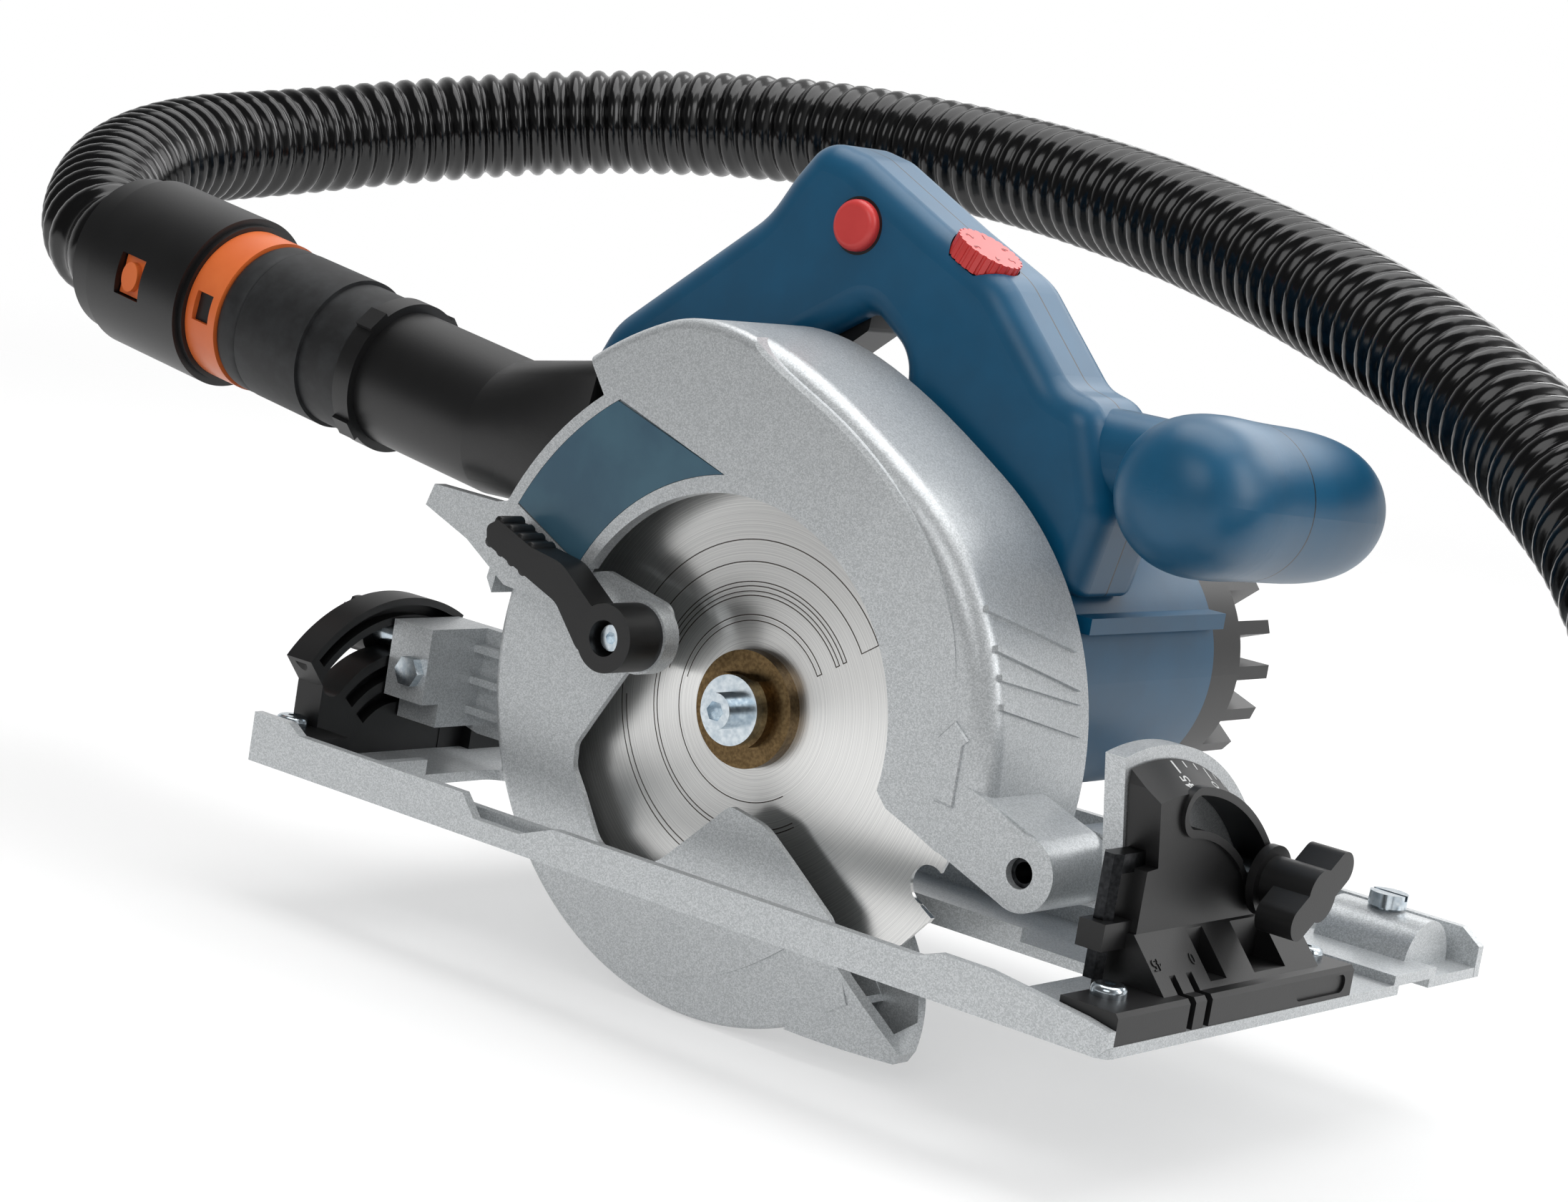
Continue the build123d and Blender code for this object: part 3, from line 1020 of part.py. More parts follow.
def rear_arm():
    x0, x1 = REAR_ARM_X
    arm = block(x0, x1, -7, ARC_PLATE_Y[1], 21, 43.5)
    arm += block(x0, x1, 0, ARC_PLATE_Y[1], 14, 24)
    web = face([(x0, 43.5), (-95, 43.5), (-70, 62), (-60, 40), (-60, 12), (-112, 12), (x0, 16)])
    arm += slab_y(web, *ARC_PLATE_Y)
    c = (PIVOT_X, PIVOT_Z)
    arc = band(ARC_PLATE_R[0], ARC_PLATE_R[1], ARC_PLATE_DEG[0], ARC_PLATE_DEG[1], c)
    arm += slab_y(arc, *ARC_PLATE_Y)
    slot_deg = ARC_SLOT_DEG[1] - ARC_SLOT_DEG[0]
    slot = SlotArc(CenterArc(c, CLAMP_R, ARC_SLOT_DEG[0], slot_deg), 2 * CLAMP_BOLT_R + 0.8)
    arm -= slab_y(slot, ARC_PLATE_Y[0] - 1, ARC_PLATE_Y[1] + 1)
    for z in (18.0, 27.0, 36.5):
        arm += block(x1 - 1, -101, 12.2, ARC_PLATE_Y[0] + 1, z, z + 2.2)
    arm -= rod_x(0, REAR_SLOT_R, TILT_STUD_R + SEAT, x0 - 1, x1 - 4)
    return arm - rod_y(ARM_BOLT[0], ARM_BOLT[1], 3.0 + SEAT, -8, 8)


def arm_bolt():
    b = rod_y(ARM_BOLT[0], ARM_BOLT[1], 3.0, -7, 7.5)
    return b + slab_y(Pos(*ARM_BOLT) * hexagon(8), -10.0, -7)


# dust line

def dust_plane(s):
    at = Vector(DUST_AT) + Vector(DUST_DIR) * s
    return Plane(origin=at, x_dir=(0, 1, 0), z_dir=DUST_DIR)


def dust_rod(r, s0, s1):
    return extrude(dust_plane(s0) * Circle(r), amount=s1 - s0)


def dust_adapter():
    """Shoe that widens from the round tube to a mouth across the guard's rear wall."""
    mouth = dust_plane(-46) * Pos(-5.25, -11) * RectangleRounded(29.5, 46, 5)
    a = loft([mouth, dust_plane(-4) * Circle(TUBE_R)])
    a += dust_rod(TUBE_R, -4, TUBE_END)
    ahead = face([(0, ARBOR_Z), polar(200, GUARD_STEP_DEG + 0.3), polar(200, 60), polar(200, 0)])
    a -= slab_y(ahead, -40, 40)
    a -= rod_y(0, ARBOR_Z, GUARD_REAR_R + SEAT, -40, 40)
    a -= dust_rod(TUBE_BORE_R, 6, TUBE_END + 1)
    a -= dust_rod(12.6, -60, 10)
    # clip window in the near cheek
    window = face([(-79.8, 115.9), (-68.5, 115.9), (-81.5, 96.4), (-90.4, 96.9)], [2, 2, 2, 2])
    return a - slab_y(window, -30, -15.5)


def sleeve_ring():
    ring = Circle(TUBE_R + 2.6) - Circle(TUBE_R + SEAT)
    for i in range(4):
        ring += Rot(0, 0, 45 + 90 * i) * Pos(TUBE_R + 2.4, 0) * Rectangle(2.4, 7)
    ring -= Circle(TUBE_R + SEAT)
    return extrude(dust_plane(41.0) * ring, amount=6.5)


def rubber_sleeve():
    s0, s1 = SLEEVE
    sleeve = dust_rod(SLEEVE_R, s0, s1) + dust_rod(SLEEVE_R + 1.2, s0 + 16, s1 - 10)
    sleeve -= dust_rod(TUBE_R + SEAT, s0 - 1, TUBE_END + 0.02)
    return sleeve - dust_rod(TUBE_BORE_R, s0 - 1, s1 + 1)


def coupling_ring():
    s0, s1 = RING_S
    ring = dust_rod(RING_R, SLEEVE[1], s1)
    ring += dust_rod(RING_R, s0, SLEEVE[1]) - dust_rod(SLEEVE_R + SEAT, s0 - 1, SLEEVE[1])
    ring += dust_rod(TUBE_BORE_R + 3, s1 - 1, s1 + 14)
    ring -= dust_rod(TUBE_BORE_R, s0 - 1, s1 + 15)
    slot = dust_plane(s0 + 3) * Pos(-RING_R, 0) * Rectangle(4, 9)
    return ring - extrude(slot, amount=7)


def hose_coupling():
    s0, s1 = COUPLING_S
    c = dust_rod(COUPLING_R, s0 + 3, s1 - 9)
    c += dust_rod(COUPLING_R - 2, s0 + 1.1, s1)
    c -= dust_rod(TUBE_BORE_R + 3 + SEAT, s0 - 1, s0 + 16.2)
    c -= dust_rod(HOSE_BORE_R, s0, s1 + 1)
    c -= dust_rod(HOSE_R + SEAT, HOSE_FROM_S, s1 + 1)
    c -= extrude(latch_plane().offset(-LATCH_ROOM) * Rectangle(11, 13), amount=20)
    return c - extrude(latch_plane().offset(-6) * Circle(LATCH_PIN_R + RUN), amount=6)


def latch_plane():
    """Plane across the latch window on the near side of the coupling, facing out."""
    at = Vector(DUST_AT) + Vector(DUST_DIR) * LATCH_S + Vector(0, -LATCH_R, 0)
    return Plane(origin=at, x_dir=DUST_DIR, z_dir=(0, -1, 0))


def coupling_latch():
    latch = extrude(latch_plane() * Rectangle(10, 12), amount=LATCH_T)
    latch += extrude(latch_plane() * Ellipse(3.4, 4.6), amount=3.4)
    return latch + extrude(latch_plane().offset(-LATCH_PIN_IN) * Circle(LATCH_PIN_R), amount=LATCH_PIN_IN + 1)


# hose

def dust_point(s):
    return tuple(Vector(DUST_AT) + Vector(DUST_DIR) * s)


def landing_points():
    """Runs of equal length that bend down to the floor and level out again."""
    x, y, z = LAND_AT
    points = [LAND_AT]
    drop = sum(math.sin(math.radians(d)) for d in LAND_SLOPES)
    fall = (z - FLOOR_Z - HOSE_R - TIE_T) / drop
    for deg in LAND_SLOPES:
        step = LAND_RUN * math.cos(math.radians(deg))
        x += step * LAND_DIR[0]
        y += step * LAND_DIR[1]
        z -= fall * math.sin(math.radians(deg))
        points.append((x, y, z))
    points.append((x + LAND_RUN * LAND_DIR[0], y + LAND_RUN * LAND_DIR[1], z))
    return points


def hose_points():
    """Corner points of the hose from the coupling to where it lies on the floor."""
    return [dust_point(HOSE_FROM_S), dust_point(185.0), (-333, 44, 147), (-356, 94, 158), (-357, 148, 165),
            (-338, 200, 177), (-296, 244, 190), (-230, 270, 199), (-148, 272, 200), (-58, 246, 194),
            (32, 200, 182), (114, 150, 165)] + landing_points()


def hose_route():
    points = [Vector(*p) for p in hose_points()]
    radii = []
    for a, b, c in zip(points[:-2], points[1:-1], points[2:]):
        turn = math.radians((b - a).get_angle(c - b))
        radii.append(0.45 * min((b - a).length, (c - b).length) / math.tan(turn / 2))
    print("hose radii", [round(r) for r in radii])
    return FilletPolyline(*points, radius=radii)


def hose_plane(route, t):
    """Section plane at t with its X axis kept upright."""
    along = (route % t).normalized()
    up = Vector(0, 0, 1)
    upright = (up - along * up.dot(along)).normalized()
    return Plane(origin=route @ t, x_dir=upright, z_dir=along)


def dust_hose():
    route = hose_route()
    length = route.length
    straight = 2 * HOSE_R / length
    sections = [hose_plane(route, 0.0) * Circle(HOSE_R)]
    span = 1.0 - 2 * straight
    for i in range(HOSE_RIBS):
        for part, r in ((0.0, HOSE_ROOT_R), (0.3, HOSE_ROOT_R), (0.45, HOSE_R), (0.85, HOSE_R)):
            t = straight + span * (i + part) / HOSE_RIBS
            sections.append(hose_plane(route, t) * Circle(r))
    sections.append(hose_plane(route, 1.0 - straight) * Circle(HOSE_ROOT_R))
    sections.append(hose_plane(route, 1.0) * Circle(HOSE_R))
    outside = loft(sections, ruled=True)
    bore = sweep(hose_plane(route, 0.0) * Circle(HOSE_BORE_R), path=route)
    hose = outside - bore
    print("hose length", round(length, 1), "volume", round(hose.volume), "bore", round(bore.volume),
          "bore by section", round(math.pi * HOSE_BORE_R ** 2 * length))
    return hose


def coil_arcs():
    """Two flat quarter turns, then a half turn in a tilted plane that climbs on to the first run."""
    first = Vector(*hose_points()[-1])
    along = Vector(LAND_DIR[0], LAND_DIR[1], 0).normalized()
    left = Vector(-along.Y, along.X, 0)
    at = first
    arcs = []
    for r in COIL_RADII:
        inward = Vector(-along.Y, along.X, 0)
        middle = at + inward * r * (1 - math.cos(math.pi / 4)) + along * r * math.sin(math.pi / 4)
        end = at + (along + inward) * r
        arcs.append(ThreePointArc(at, middle, end))
        at = end
        along = inward
    back = left * (CLIMB_INSET - (at - first).dot(left)) + Vector(0, 0, CLIMB)
    arcs.append(ThreePointArc(at, at + back * 0.5 + along * back.length / 2, at + back))
    return arcs, at + back, along * -1


def least_gap(*routes):
    """Least gap of the hose to itself, on points that lie more than three diameters apart along it."""
    points = []
    for route in routes:
        count = int(route.length / 6)
        points += [tuple(route @ (i / count)) for i in range(count)]
    skip = int(6 * HOSE_R / 6)
    least = min(math.dist(a, b) for i, a in enumerate(points) for b in points[i + skip:])
    return least - 2 * HOSE_R


def hose_coil():
    arcs, end, along = coil_arcs()
    route = Wire(arcs)
    plane = Plane(origin=route @ 0, x_dir=(0, 0, 1), z_dir=route % 0)
    coil = sweep(plane * (Circle(HOSE_R) - Circle(HOSE_BORE_R)), path=route)
    area = math.pi * (HOSE_R ** 2 - HOSE_BORE_R ** 2)
    print("coil length", round(route.length, 1), "volume", round(coil.volume),
          "by section", round(area * route.length))
    print("least gap of the hose to itself", round(least_gap(hose_route(), route), 2))
    return coil


def hose_cuff():
    arcs, end, along = coil_arcs()
    plane = Plane(origin=end, x_dir=(0, 0, 1), z_dir=along)
    cuff = extrude(plane * Circle(HOSE_R), amount=CUFF_LENGTH)
    for i in range(4):
        cuff -= extrude(plane.offset(12 + 9 * i) * (Circle(HOSE_R + 1) - Circle(HOSE_R - 0.9)), amount=4)
    return cuff - extrude(plane.offset(-1) * Circle(CUFF_BORE_R), amount=CUFF_LENGTH + 2)


def hose_tie():
    """Strap round the first run and the end that lies on it."""
    arcs, end, along = coil_arcs()
    climb = arcs[-1]
    upper = climb @ (1 - 1.2 * TIE_W / climb.length)
    lower = Vector(*hose_points()[-1])
    lower += along * (upper - lower).dot(along)
    across = (upper - lower).length
    middle = (lower + upper) * 0.5 - along * TIE_W / 2
    plane = Plane(origin=middle, x_dir=(upper - lower).normalized(), z_dir=along)
    wide = 2 * HOSE_R + 0.9
    thick = 2 * TIE_T - 0.3
    strap = SlotOverall(across + wide + thick, wide + thick)
    return extrude(plane * (strap - SlotOverall(across + wide, wide)), amount=TIE_W)


def build_all():
    made = {
        "base_plate": base_plate(), "front_quadrant": front_quadrant(), "rear_quadrant": rear_quadrant(),
        "base_screws": base_screws(), "guide_clamp_screw": guide_clamp_screw(), "hex_key": hex_key(),
        "front_bracket": front_bracket(), "rear_arm": rear_arm(), "arm_bolt": arm_bolt(),
        "depth_pivot_pin": depth_pivot_pin(), "front_bevel_stud": bevel_stud_front(),
        "rear_bevel_stud": bevel_stud_rear(), "front_bevel_knob": front_bevel_knob(),
        "rear_bevel_knob": rear_bevel_knob(), "upper_guard": upper_guard(), "guard_panel": guard_panel(),
        "guard_spring": guard_spring(), "guard_retainer": guard_retainer(),
        "depth_clamp_bolt": depth_clamp_bolt(), "depth_clamp_lever": depth_clamp_lever(),
        "lower_guard": lower_guard(), "guard_lever": guard_lever(), "lever_screw": lever_screw(),
        "blade": blade(), "inner_flange": inner_flange(), "outer_flange": outer_flange(),
        "blade_bolt": blade_bolt(), "spindle": spindle(), "spindle_gear": spindle_gear(),
        "middle_gear": middle_gear(),
        "spindle_front_bearing": bearing(0, ARBOR_Z, FRONT_BEARING),
        "spindle_rear_bearing": bearing(0, ARBOR_Z, REAR_BEARING),
        "motor_front_bearing": bearing(MOTOR_X, MOTOR_Z, MOTOR_FRONT_BEARING),
        "motor_rear_bearing": bearing(MOTOR_X, MOTOR_Z, MOTOR_REAR_BEARING),
        "motor_housing": motor_housing(), "stator": stator(), "carbon_brushes": carbon_brushes(),
        "armature": armature(), "motor_end_cap": motor_end_cap(), "cap_screws": cap_screws(),
        "spindle_lock": spindle_lock(), "handle_near_shell": handle_near_shell(),
        "handle_far_shell": handle_far_shell(), "housing_screws": housing_screws(),
        "trigger": trigger(), "lock_off_button": lock_off_button(), "speed_dial": speed_dial(),
        "dust_adapter": dust_adapter(), "sleeve_ring": sleeve_ring(), "rubber_sleeve": rubber_sleeve(),
        "coupling_ring": coupling_ring(), "hose_coupling": hose_coupling(),
        "coupling_latch": coupling_latch(), "dust_hose": dust_hose(), "hose_coil": hose_coil(),
        "hose_cuff": hose_cuff(), "hose_tie": hose_tie(),
    }
    made["switch_block"], made["trigger_pin"] = switch_block()
    return made


for name, shape in build_all().items():
    solids = shape.solids()
    print(name, len(solids), "solids", round(sum(s.volume for s in solids)), "mm3")
    save(shape, name)
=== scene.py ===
# %% [markdown]
# # A compact circular saw with its dust hose
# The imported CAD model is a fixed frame: every solid already stands where it belongs, in metres.
# This lesson dresses it: camera and hose first, then light, finishes, and the fine pieces that
# the solids leave out. Each piece rides on the body that carries it, so the saw still moves.
# Sizes are in millimetres and MM turns them into metres. What is in metres says so.

# %% Load the frame
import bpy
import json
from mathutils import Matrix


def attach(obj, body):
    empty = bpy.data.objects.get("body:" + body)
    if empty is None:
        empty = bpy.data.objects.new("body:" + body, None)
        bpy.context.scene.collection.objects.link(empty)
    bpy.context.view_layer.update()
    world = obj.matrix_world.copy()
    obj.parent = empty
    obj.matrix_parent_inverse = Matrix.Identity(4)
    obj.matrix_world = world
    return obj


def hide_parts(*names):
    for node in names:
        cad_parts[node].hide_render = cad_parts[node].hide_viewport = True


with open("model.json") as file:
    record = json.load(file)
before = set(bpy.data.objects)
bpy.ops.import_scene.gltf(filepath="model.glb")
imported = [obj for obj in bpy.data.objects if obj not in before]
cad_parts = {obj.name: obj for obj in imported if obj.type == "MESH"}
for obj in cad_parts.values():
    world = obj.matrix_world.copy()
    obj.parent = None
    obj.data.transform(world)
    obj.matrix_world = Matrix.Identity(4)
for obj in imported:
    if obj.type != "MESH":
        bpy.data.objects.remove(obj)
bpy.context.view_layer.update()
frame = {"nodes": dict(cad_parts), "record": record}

import bisect
import bpy
import bmesh
import json
import math
from mathutils import Matrix, Vector

MM = 0.001
nodes = frame["nodes"]
scene = bpy.context.scene
scene.view_settings.view_transform = "Standard"

# %% [markdown]
# ## The camera
# The photographer stood at the front left, a little above the saw. The blade's circle, its 160 mm
# size and the straight edges of the base fix where. A look-at constraint could aim the camera, but
# a matrix of three measured axes also carries its small roll, so the sole can stay level here.

# %% Camera
IMAGE_W = 2192
FOCAL_PX = 4937.4
CAMERA_AT = Vector((567.6, -760.6, 217.1)) * MM
LOOK = Vector((-0.5889, 0.7951, -0.1451))
RIGHT = Vector((0.7787, 0.6062, 0.1618))
CLIP_START = 0.02  # metres

camera = bpy.data.objects.new("camera", bpy.data.cameras.new("camera"))
scene.collection.objects.link(camera)
back = -LOOK.normalized()
up = back.cross(RIGHT).normalized()
right = up.cross(back)
camera.matrix_world = Matrix.Translation(CAMERA_AT) @ Matrix((right, up, back)).transposed().to_4x4()
camera.data.lens = camera.data.sensor_width * FOCAL_PX / IMAGE_W
camera.data.clip_start = CLIP_START
scene.camera = camera
print("lens", round(camera.data.lens, 2), "mm")

# %% [markdown]
# ## Helpers for shapes
# The hose, the marks and the small raised forms are all bars: a row of equal cross-sections joined
# end to end, or all the way round. A curve with a bevel could make some of them, but it gives only
# one section for the whole length. A row of sections can also swell, taper and follow a cone.

# %% Bars and meshes
def round_angles(count):
    """Angles that share a full turn evenly."""
    return [2 * math.pi * i / count for i in range(count)]


def rectangle(x0, x1, y0, y1):
    """The four corners of a rectangular section."""
    return ((x0, y0), (x1, y0), (x1, y1), (x0, y1))


def add_bar(solid, sections, ring=False):
    """Join a row of equal sections into one closed bar, or all the way round into a ring."""
    vertices, faces = solid
    start, sides, count = len(vertices), len(sections[0]), len(sections)
    for section in sections:
        vertices.extend(section)
    for i in range(count if ring else count - 1):
        a, b = start + i * sides, start + (i + 1) % count * sides
        for k in range(sides):
            n = (k + 1) % sides
            faces.append((a + k, a + n, b + n, b + k))
    if not ring:
        last = start + (count - 1) * sides
        faces.append(tuple(start + k for k in reversed(range(sides))))
        faces.append(tuple(last + k for k in range(sides)))


def link_mesh(name, vertices, faces, smooth=True):
    """Put a mesh of these faces into the scene, with its points in metres."""
    mesh = bpy.data.meshes.new(name)
    mesh.from_pydata(vertices, [], faces)
    mesh.polygons.foreach_set("use_smooth", [smooth] * len(mesh.polygons))
    mesh.validate()
    piece = bpy.data.objects.new(name, mesh)
    scene.collection.objects.link(piece)
    return piece


# %% [markdown]
# ## The dust hose
# The hose is black polyethylene, 38 mm outside, blown with ring ribs about 8 mm apart so that it
# bends without closing. It could be an array of rings on a curve, but the rings would turn in the
# bends. Here a NURBS spline follows the corner points of the CAD route, and rings of the rib's
# profile are set square to the points read from it. What the photograph doesn't reach comes down
# to the floor and is wound into one turn that climbs on to itself, with a strap, and ends in a
# push-on cuff.

# %% Hose in the air
HOSE_R = 19.0
# the dust line is straight from the guard to the coupling, and rises to the rear
DUST_AT = Vector((-111.2, 6.0, 105.4))
DUST_RISE = math.radians(8.06)
DUST_DIR = Vector((-math.cos(DUST_RISE), 0.0, math.sin(DUST_RISE)))
# the coupling holds the hose straight, so the start has a point more than the CAD route
STRAIGHT_START = (129, 162, 185)
AIR_POINTS = ((-333, 44, 147), (-356, 94, 158), (-357, 148, 165), (-338, 200, 177), (-296, 244, 190),
              (-230, 270, 199), (-148, 272, 200), (-58, 246, 194), (32, 200, 182), (114, 150, 165),
              (182, 106, 140))

route = [DUST_AT + DUST_DIR * along_line for along_line in STRAIGHT_START]
route += [Vector(point) for point in AIR_POINTS]
print("hose in the air over", len(route), "points")

# %% Hose landing
FLOOR_Z = -39.5
STRAP_T = 1.2
LAND_DIR = Vector((0.79, -0.613, 0.0))
LAND_RUN = 45.0
LAND_SLOPES = [math.radians(degrees) for degrees in (30, 43, 53, 42, 29, 16, 5)]  # point by point

fall = (route[-1].z - FLOOR_Z - HOSE_R - STRAP_T) / sum(math.sin(slope) for slope in LAND_SLOPES)
for slope in LAND_SLOPES:
    forward = LAND_DIR * LAND_RUN * math.cos(slope)
    route.append(route[-1] + forward - Vector((0, 0, fall * math.sin(slope))))
route.append(route[-1] + LAND_DIR * LAND_RUN)
landed = route[-1].copy()
print("hose lands at", [round(v) for v in landed], "mm")

# %% Hose coil
COIL_RADII = (205.0, 198.0)
CLIMB = 39.0
CLIMB_INSET = 18.0
TURN_POINTS = 16

# two flat quarter turns, then a half turn in a tilted plane that climbs on to the first run
coil_at = landed
along = LAND_DIR.normalized()
left = Vector((-along.y, along.x, 0))
step = 2 * math.pi / TURN_POINTS
for radius in COIL_RADII:
    inward = Vector((-along.y, along.x, 0))
    centre = coil_at + inward * radius
    for i in range(TURN_POINTS // 4):
        a = (i + 0.5) * step
        out = along * math.sin(a) - inward * math.cos(a)
        route.append(centre + out * radius / math.cos(step / 2))
    coil_at = centre + along * radius
    along = inward
climb = left * (CLIMB_INSET - (coil_at - landed).dot(left)) + Vector((0, 0, CLIMB))
for i in range(TURN_POINTS // 2):
    a = (i + 0.5) * step
    out = along * math.sin(a) * climb.length - climb * math.cos(a)
    route.append(coil_at + (climb + out / math.cos(step / 2)) / 2)
route.append(coil_at + climb)
print("hose route of", len(route), "points")

# %% Hose line
SPLINE_ORDER = 3
SPLINE_STEPS = 24


def spline_points(name, points):
    """Points read from a smooth NURBS spline with these control points, in metres."""
    curve = bpy.data.curves.new(name, "CURVE")
    curve.dimensions = "3D"
    spline = curve.splines.new("NURBS")
    spline.points.add(len(points) - 1)
    for control, point in zip(spline.points, points):
        control.co = (*(point * MM), 1.0)
    spline.order_u = SPLINE_ORDER
    spline.use_endpoint_u = True
    spline.resolution_u = SPLINE_STEPS
    line = bpy.data.objects.new(name, curve)
    scene.collection.objects.link(line)
    mesh = bpy.data.meshes.new_from_object(line)
    read = [v.co.copy() for v in mesh.vertices]
    bpy.data.objects.remove(line)
    return read


centreline = spline_points("hose_line", route)
reach = [0.0]
for a, b in zip(centreline[:-1], centreline[1:]):
    reach.append(reach[-1] + (b - a).length)


def along_hose(distance):
    """The point and direction of the hose's line at a distance from its start, in metres."""
    i = bisect.bisect_left(reach, distance, 1, len(reach) - 1)
    a, b = centreline[i - 1], centreline[i]
    return a.lerp(b, (distance - reach[i - 1]) / (reach[i] - reach[i - 1])), (b - a).normalized()


print("hose line", round(reach[-1], 3), "m")

# %% Hose ribs
HOSE_ROOT_R = 16.8
RIB_PITCH = 7.9
# one rib: part of the pitch, part of the height
RIB_PROFILE = ((0.0, 0.0), (0.12, 0.0), (0.22, 0.3), (0.33, 0.74), (0.46, 0.97), (0.56, 1.0), (0.66, 0.97),
               (0.79, 0.74), (0.9, 0.3))
HOSE_SIDES = 32

ribs = round(reach[-1] / (RIB_PITCH * MM))
pitch = reach[-1] / ribs
rings = [((rib + part) * pitch, (HOSE_ROOT_R + (HOSE_R - HOSE_ROOT_R) * height) * MM)
         for rib in range(ribs) for part, height in RIB_PROFILE]
rings.append((reach[-1], HOSE_ROOT_R * MM))
sections = []
for distance, radius in rings:
    at, ahead = along_hose(distance)
    side = ahead.cross(Vector((0, 0, 1))).normalized()
    over = side.cross(ahead)
    sections.append([at + (side * math.cos(a) + over * math.sin(a)) * radius
                     for a in round_angles(HOSE_SIDES)])
tube = ([], [])
add_bar(tube, sections)
hose = link_mesh("ribbed_dust_hose", *tube)
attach(hose, "saw")
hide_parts("dust_hose", "hose_coil")
print("hose", round(reach[-1], 3), "m with", ribs, "ribs")

# %% [markdown]
# ## Helpers for finishes
# A finish is a small graph of nodes. It could be wired node by node, but one line per node, with its
# settings and links together, keeps the graph readable. Colours are noted as sRGB hex, as a colour
# picker shows them, and turned into the linear values that shaders work in. Patterns take their
# scale from real millimetres.

# %% Nodes and colours
def linear(hex_colour):
    """An sRGB hex colour as linear RGBA."""
    values = [int(hex_colour[i:i + 2], 16) / 255 for i in (1, 3, 5)]
    return [v / 12.92 if v <= 0.04045 else ((v + 0.055) / 1.055) ** 2.4 for v in values] + [1.0]


def add(tree, kind, inputs=None, **settings):
    """Add a node, set it up, and link the inputs that are another node's outputs."""
    node = tree.nodes.new(kind)
    for key, value in settings.items():
        setattr(node, key, value)
    for key, value in (inputs or {}).items():
        if isinstance(value, bpy.types.NodeSocket):
            tree.links.new(value, node.inputs[key])
        else:
            node.inputs[key].default_value = value
    return node


def new_finish(name, **sockets):
    """A material with plain values on its shader's sockets, and the coordinate for its patterns."""
    material = bpy.data.materials.new(name)
    material.use_nodes = True
    tree = material.node_tree
    shader = tree.nodes["Principled BSDF"]
    for key, value in sockets.items():
        shader.inputs[key.replace("_", " ")].default_value = value
    place = add(tree, "ShaderNodeTexCoord").outputs["Object"]
    return material, tree, shader, place


# %% Patterns and dressing
def per_metre(size_mm):
    """The scale of a pattern whose cells are this many millimetres wide."""
    return 1.0 / (size_mm * MM)


def two_tones(tree, value, dark, light, low=0.35, high=0.65):
    """A colour that runs from dark to light as value rises from low to high."""
    ramp = add(tree, "ShaderNodeValToRGB", {"Fac": value})
    for stop, position, tone in zip(ramp.color_ramp.elements, (low, high), (dark, light)):
        stop.position = position
        stop.color = linear(tone)
    return ramp.outputs["Color"]


def grain(tree, shader, height, depth_mm, strength):
    """Bump of a given depth on the shader."""
    bump = add(tree, "ShaderNodeBump", {"Height": height, "Distance": depth_mm * MM, "Strength": strength})
    tree.links.new(bump.outputs["Normal"], shader.inputs["Normal"])


def dress(piece, finish):
    """Give a piece this finish and no other."""
    piece.data.materials.clear()
    piece.data.materials.append(finish)


# %% [markdown]
# ## Floor and light
# A small product studio has a pale floor and large soft lamps. The floor takes the soft shadow, and
# fades into the white world before its edge. A plain white plane would also do, but its edge would
# show as a line. The world is white where the camera sees it, and only a mild fill where it lights
# the saw. In reflections the room is bright behind the saw and dim on the photographer's side,
# which keeps black and blue plastic deep.

# %% Floor
FLOOR_R = 2.4  # metres
FLOOR_SIDES = 96
FLOOR_GAP = 0.2
FLOOR_TONE = "#c8c8c8"
FLOOR_GLOW = 0.46
FADE_FROM, FADE_TO = 0.75, 1.9  # metres from the middle

bpy.ops.mesh.primitive_circle_add(vertices=FLOOR_SIDES, radius=FLOOR_R, fill_type="NGON",
                                  location=(0, 0, (FLOOR_Z - FLOOR_GAP) * MM))
floor = bpy.context.object
floor.name = "studio_floor"
paper = bpy.data.materials.new("white_paper_floor")
paper.use_nodes = True
tree = paper.node_tree
tree.nodes.clear()
rays = add(tree, "ShaderNodeLightPath")
seen = add(tree, "ShaderNodeMath", {0: rays.outputs["Is Camera Ray"], 1: rays.outputs["Is Glossy Ray"]},
           operation="MAXIMUM")
seen = add(tree, "ShaderNodeMath", {0: seen.outputs[0], 1: rays.outputs["Is Transmission Ray"]},
           operation="MAXIMUM")
glow = add(tree, "ShaderNodeMath", {0: seen.outputs[0], 1: FLOOR_GLOW}, operation="MULTIPLY")
place = add(tree, "ShaderNodeTexCoord").outputs["Object"]
distance = add(tree, "ShaderNodeVectorMath", {0: place}, operation="LENGTH").outputs["Value"]
edge = add(tree, "ShaderNodeMapRange", {"Value": distance, "From Min": FADE_FROM, "From Max": FADE_TO},
           interpolation_type="SMOOTHSTEP")
matt = add(tree, "ShaderNodeBsdfDiffuse", {"Color": linear(FLOOR_TONE)})
shine = add(tree, "ShaderNodeEmission", {"Color": linear("#ffffff"), "Strength": glow.outputs[0]})
sheet = add(tree, "ShaderNodeAddShader", {0: matt.outputs[0], 1: shine.outputs[0]})
clear = add(tree, "ShaderNodeBsdfTransparent")
faded = add(tree, "ShaderNodeMixShader",
            {0: edge.outputs["Result"], 1: sheet.outputs[0], 2: clear.outputs[0]})
add(tree, "ShaderNodeOutputMaterial", {"Surface": faded.outputs[0]})
dress(floor, paper)
print("floor fades from", FADE_FROM, "to", FADE_TO, "m")

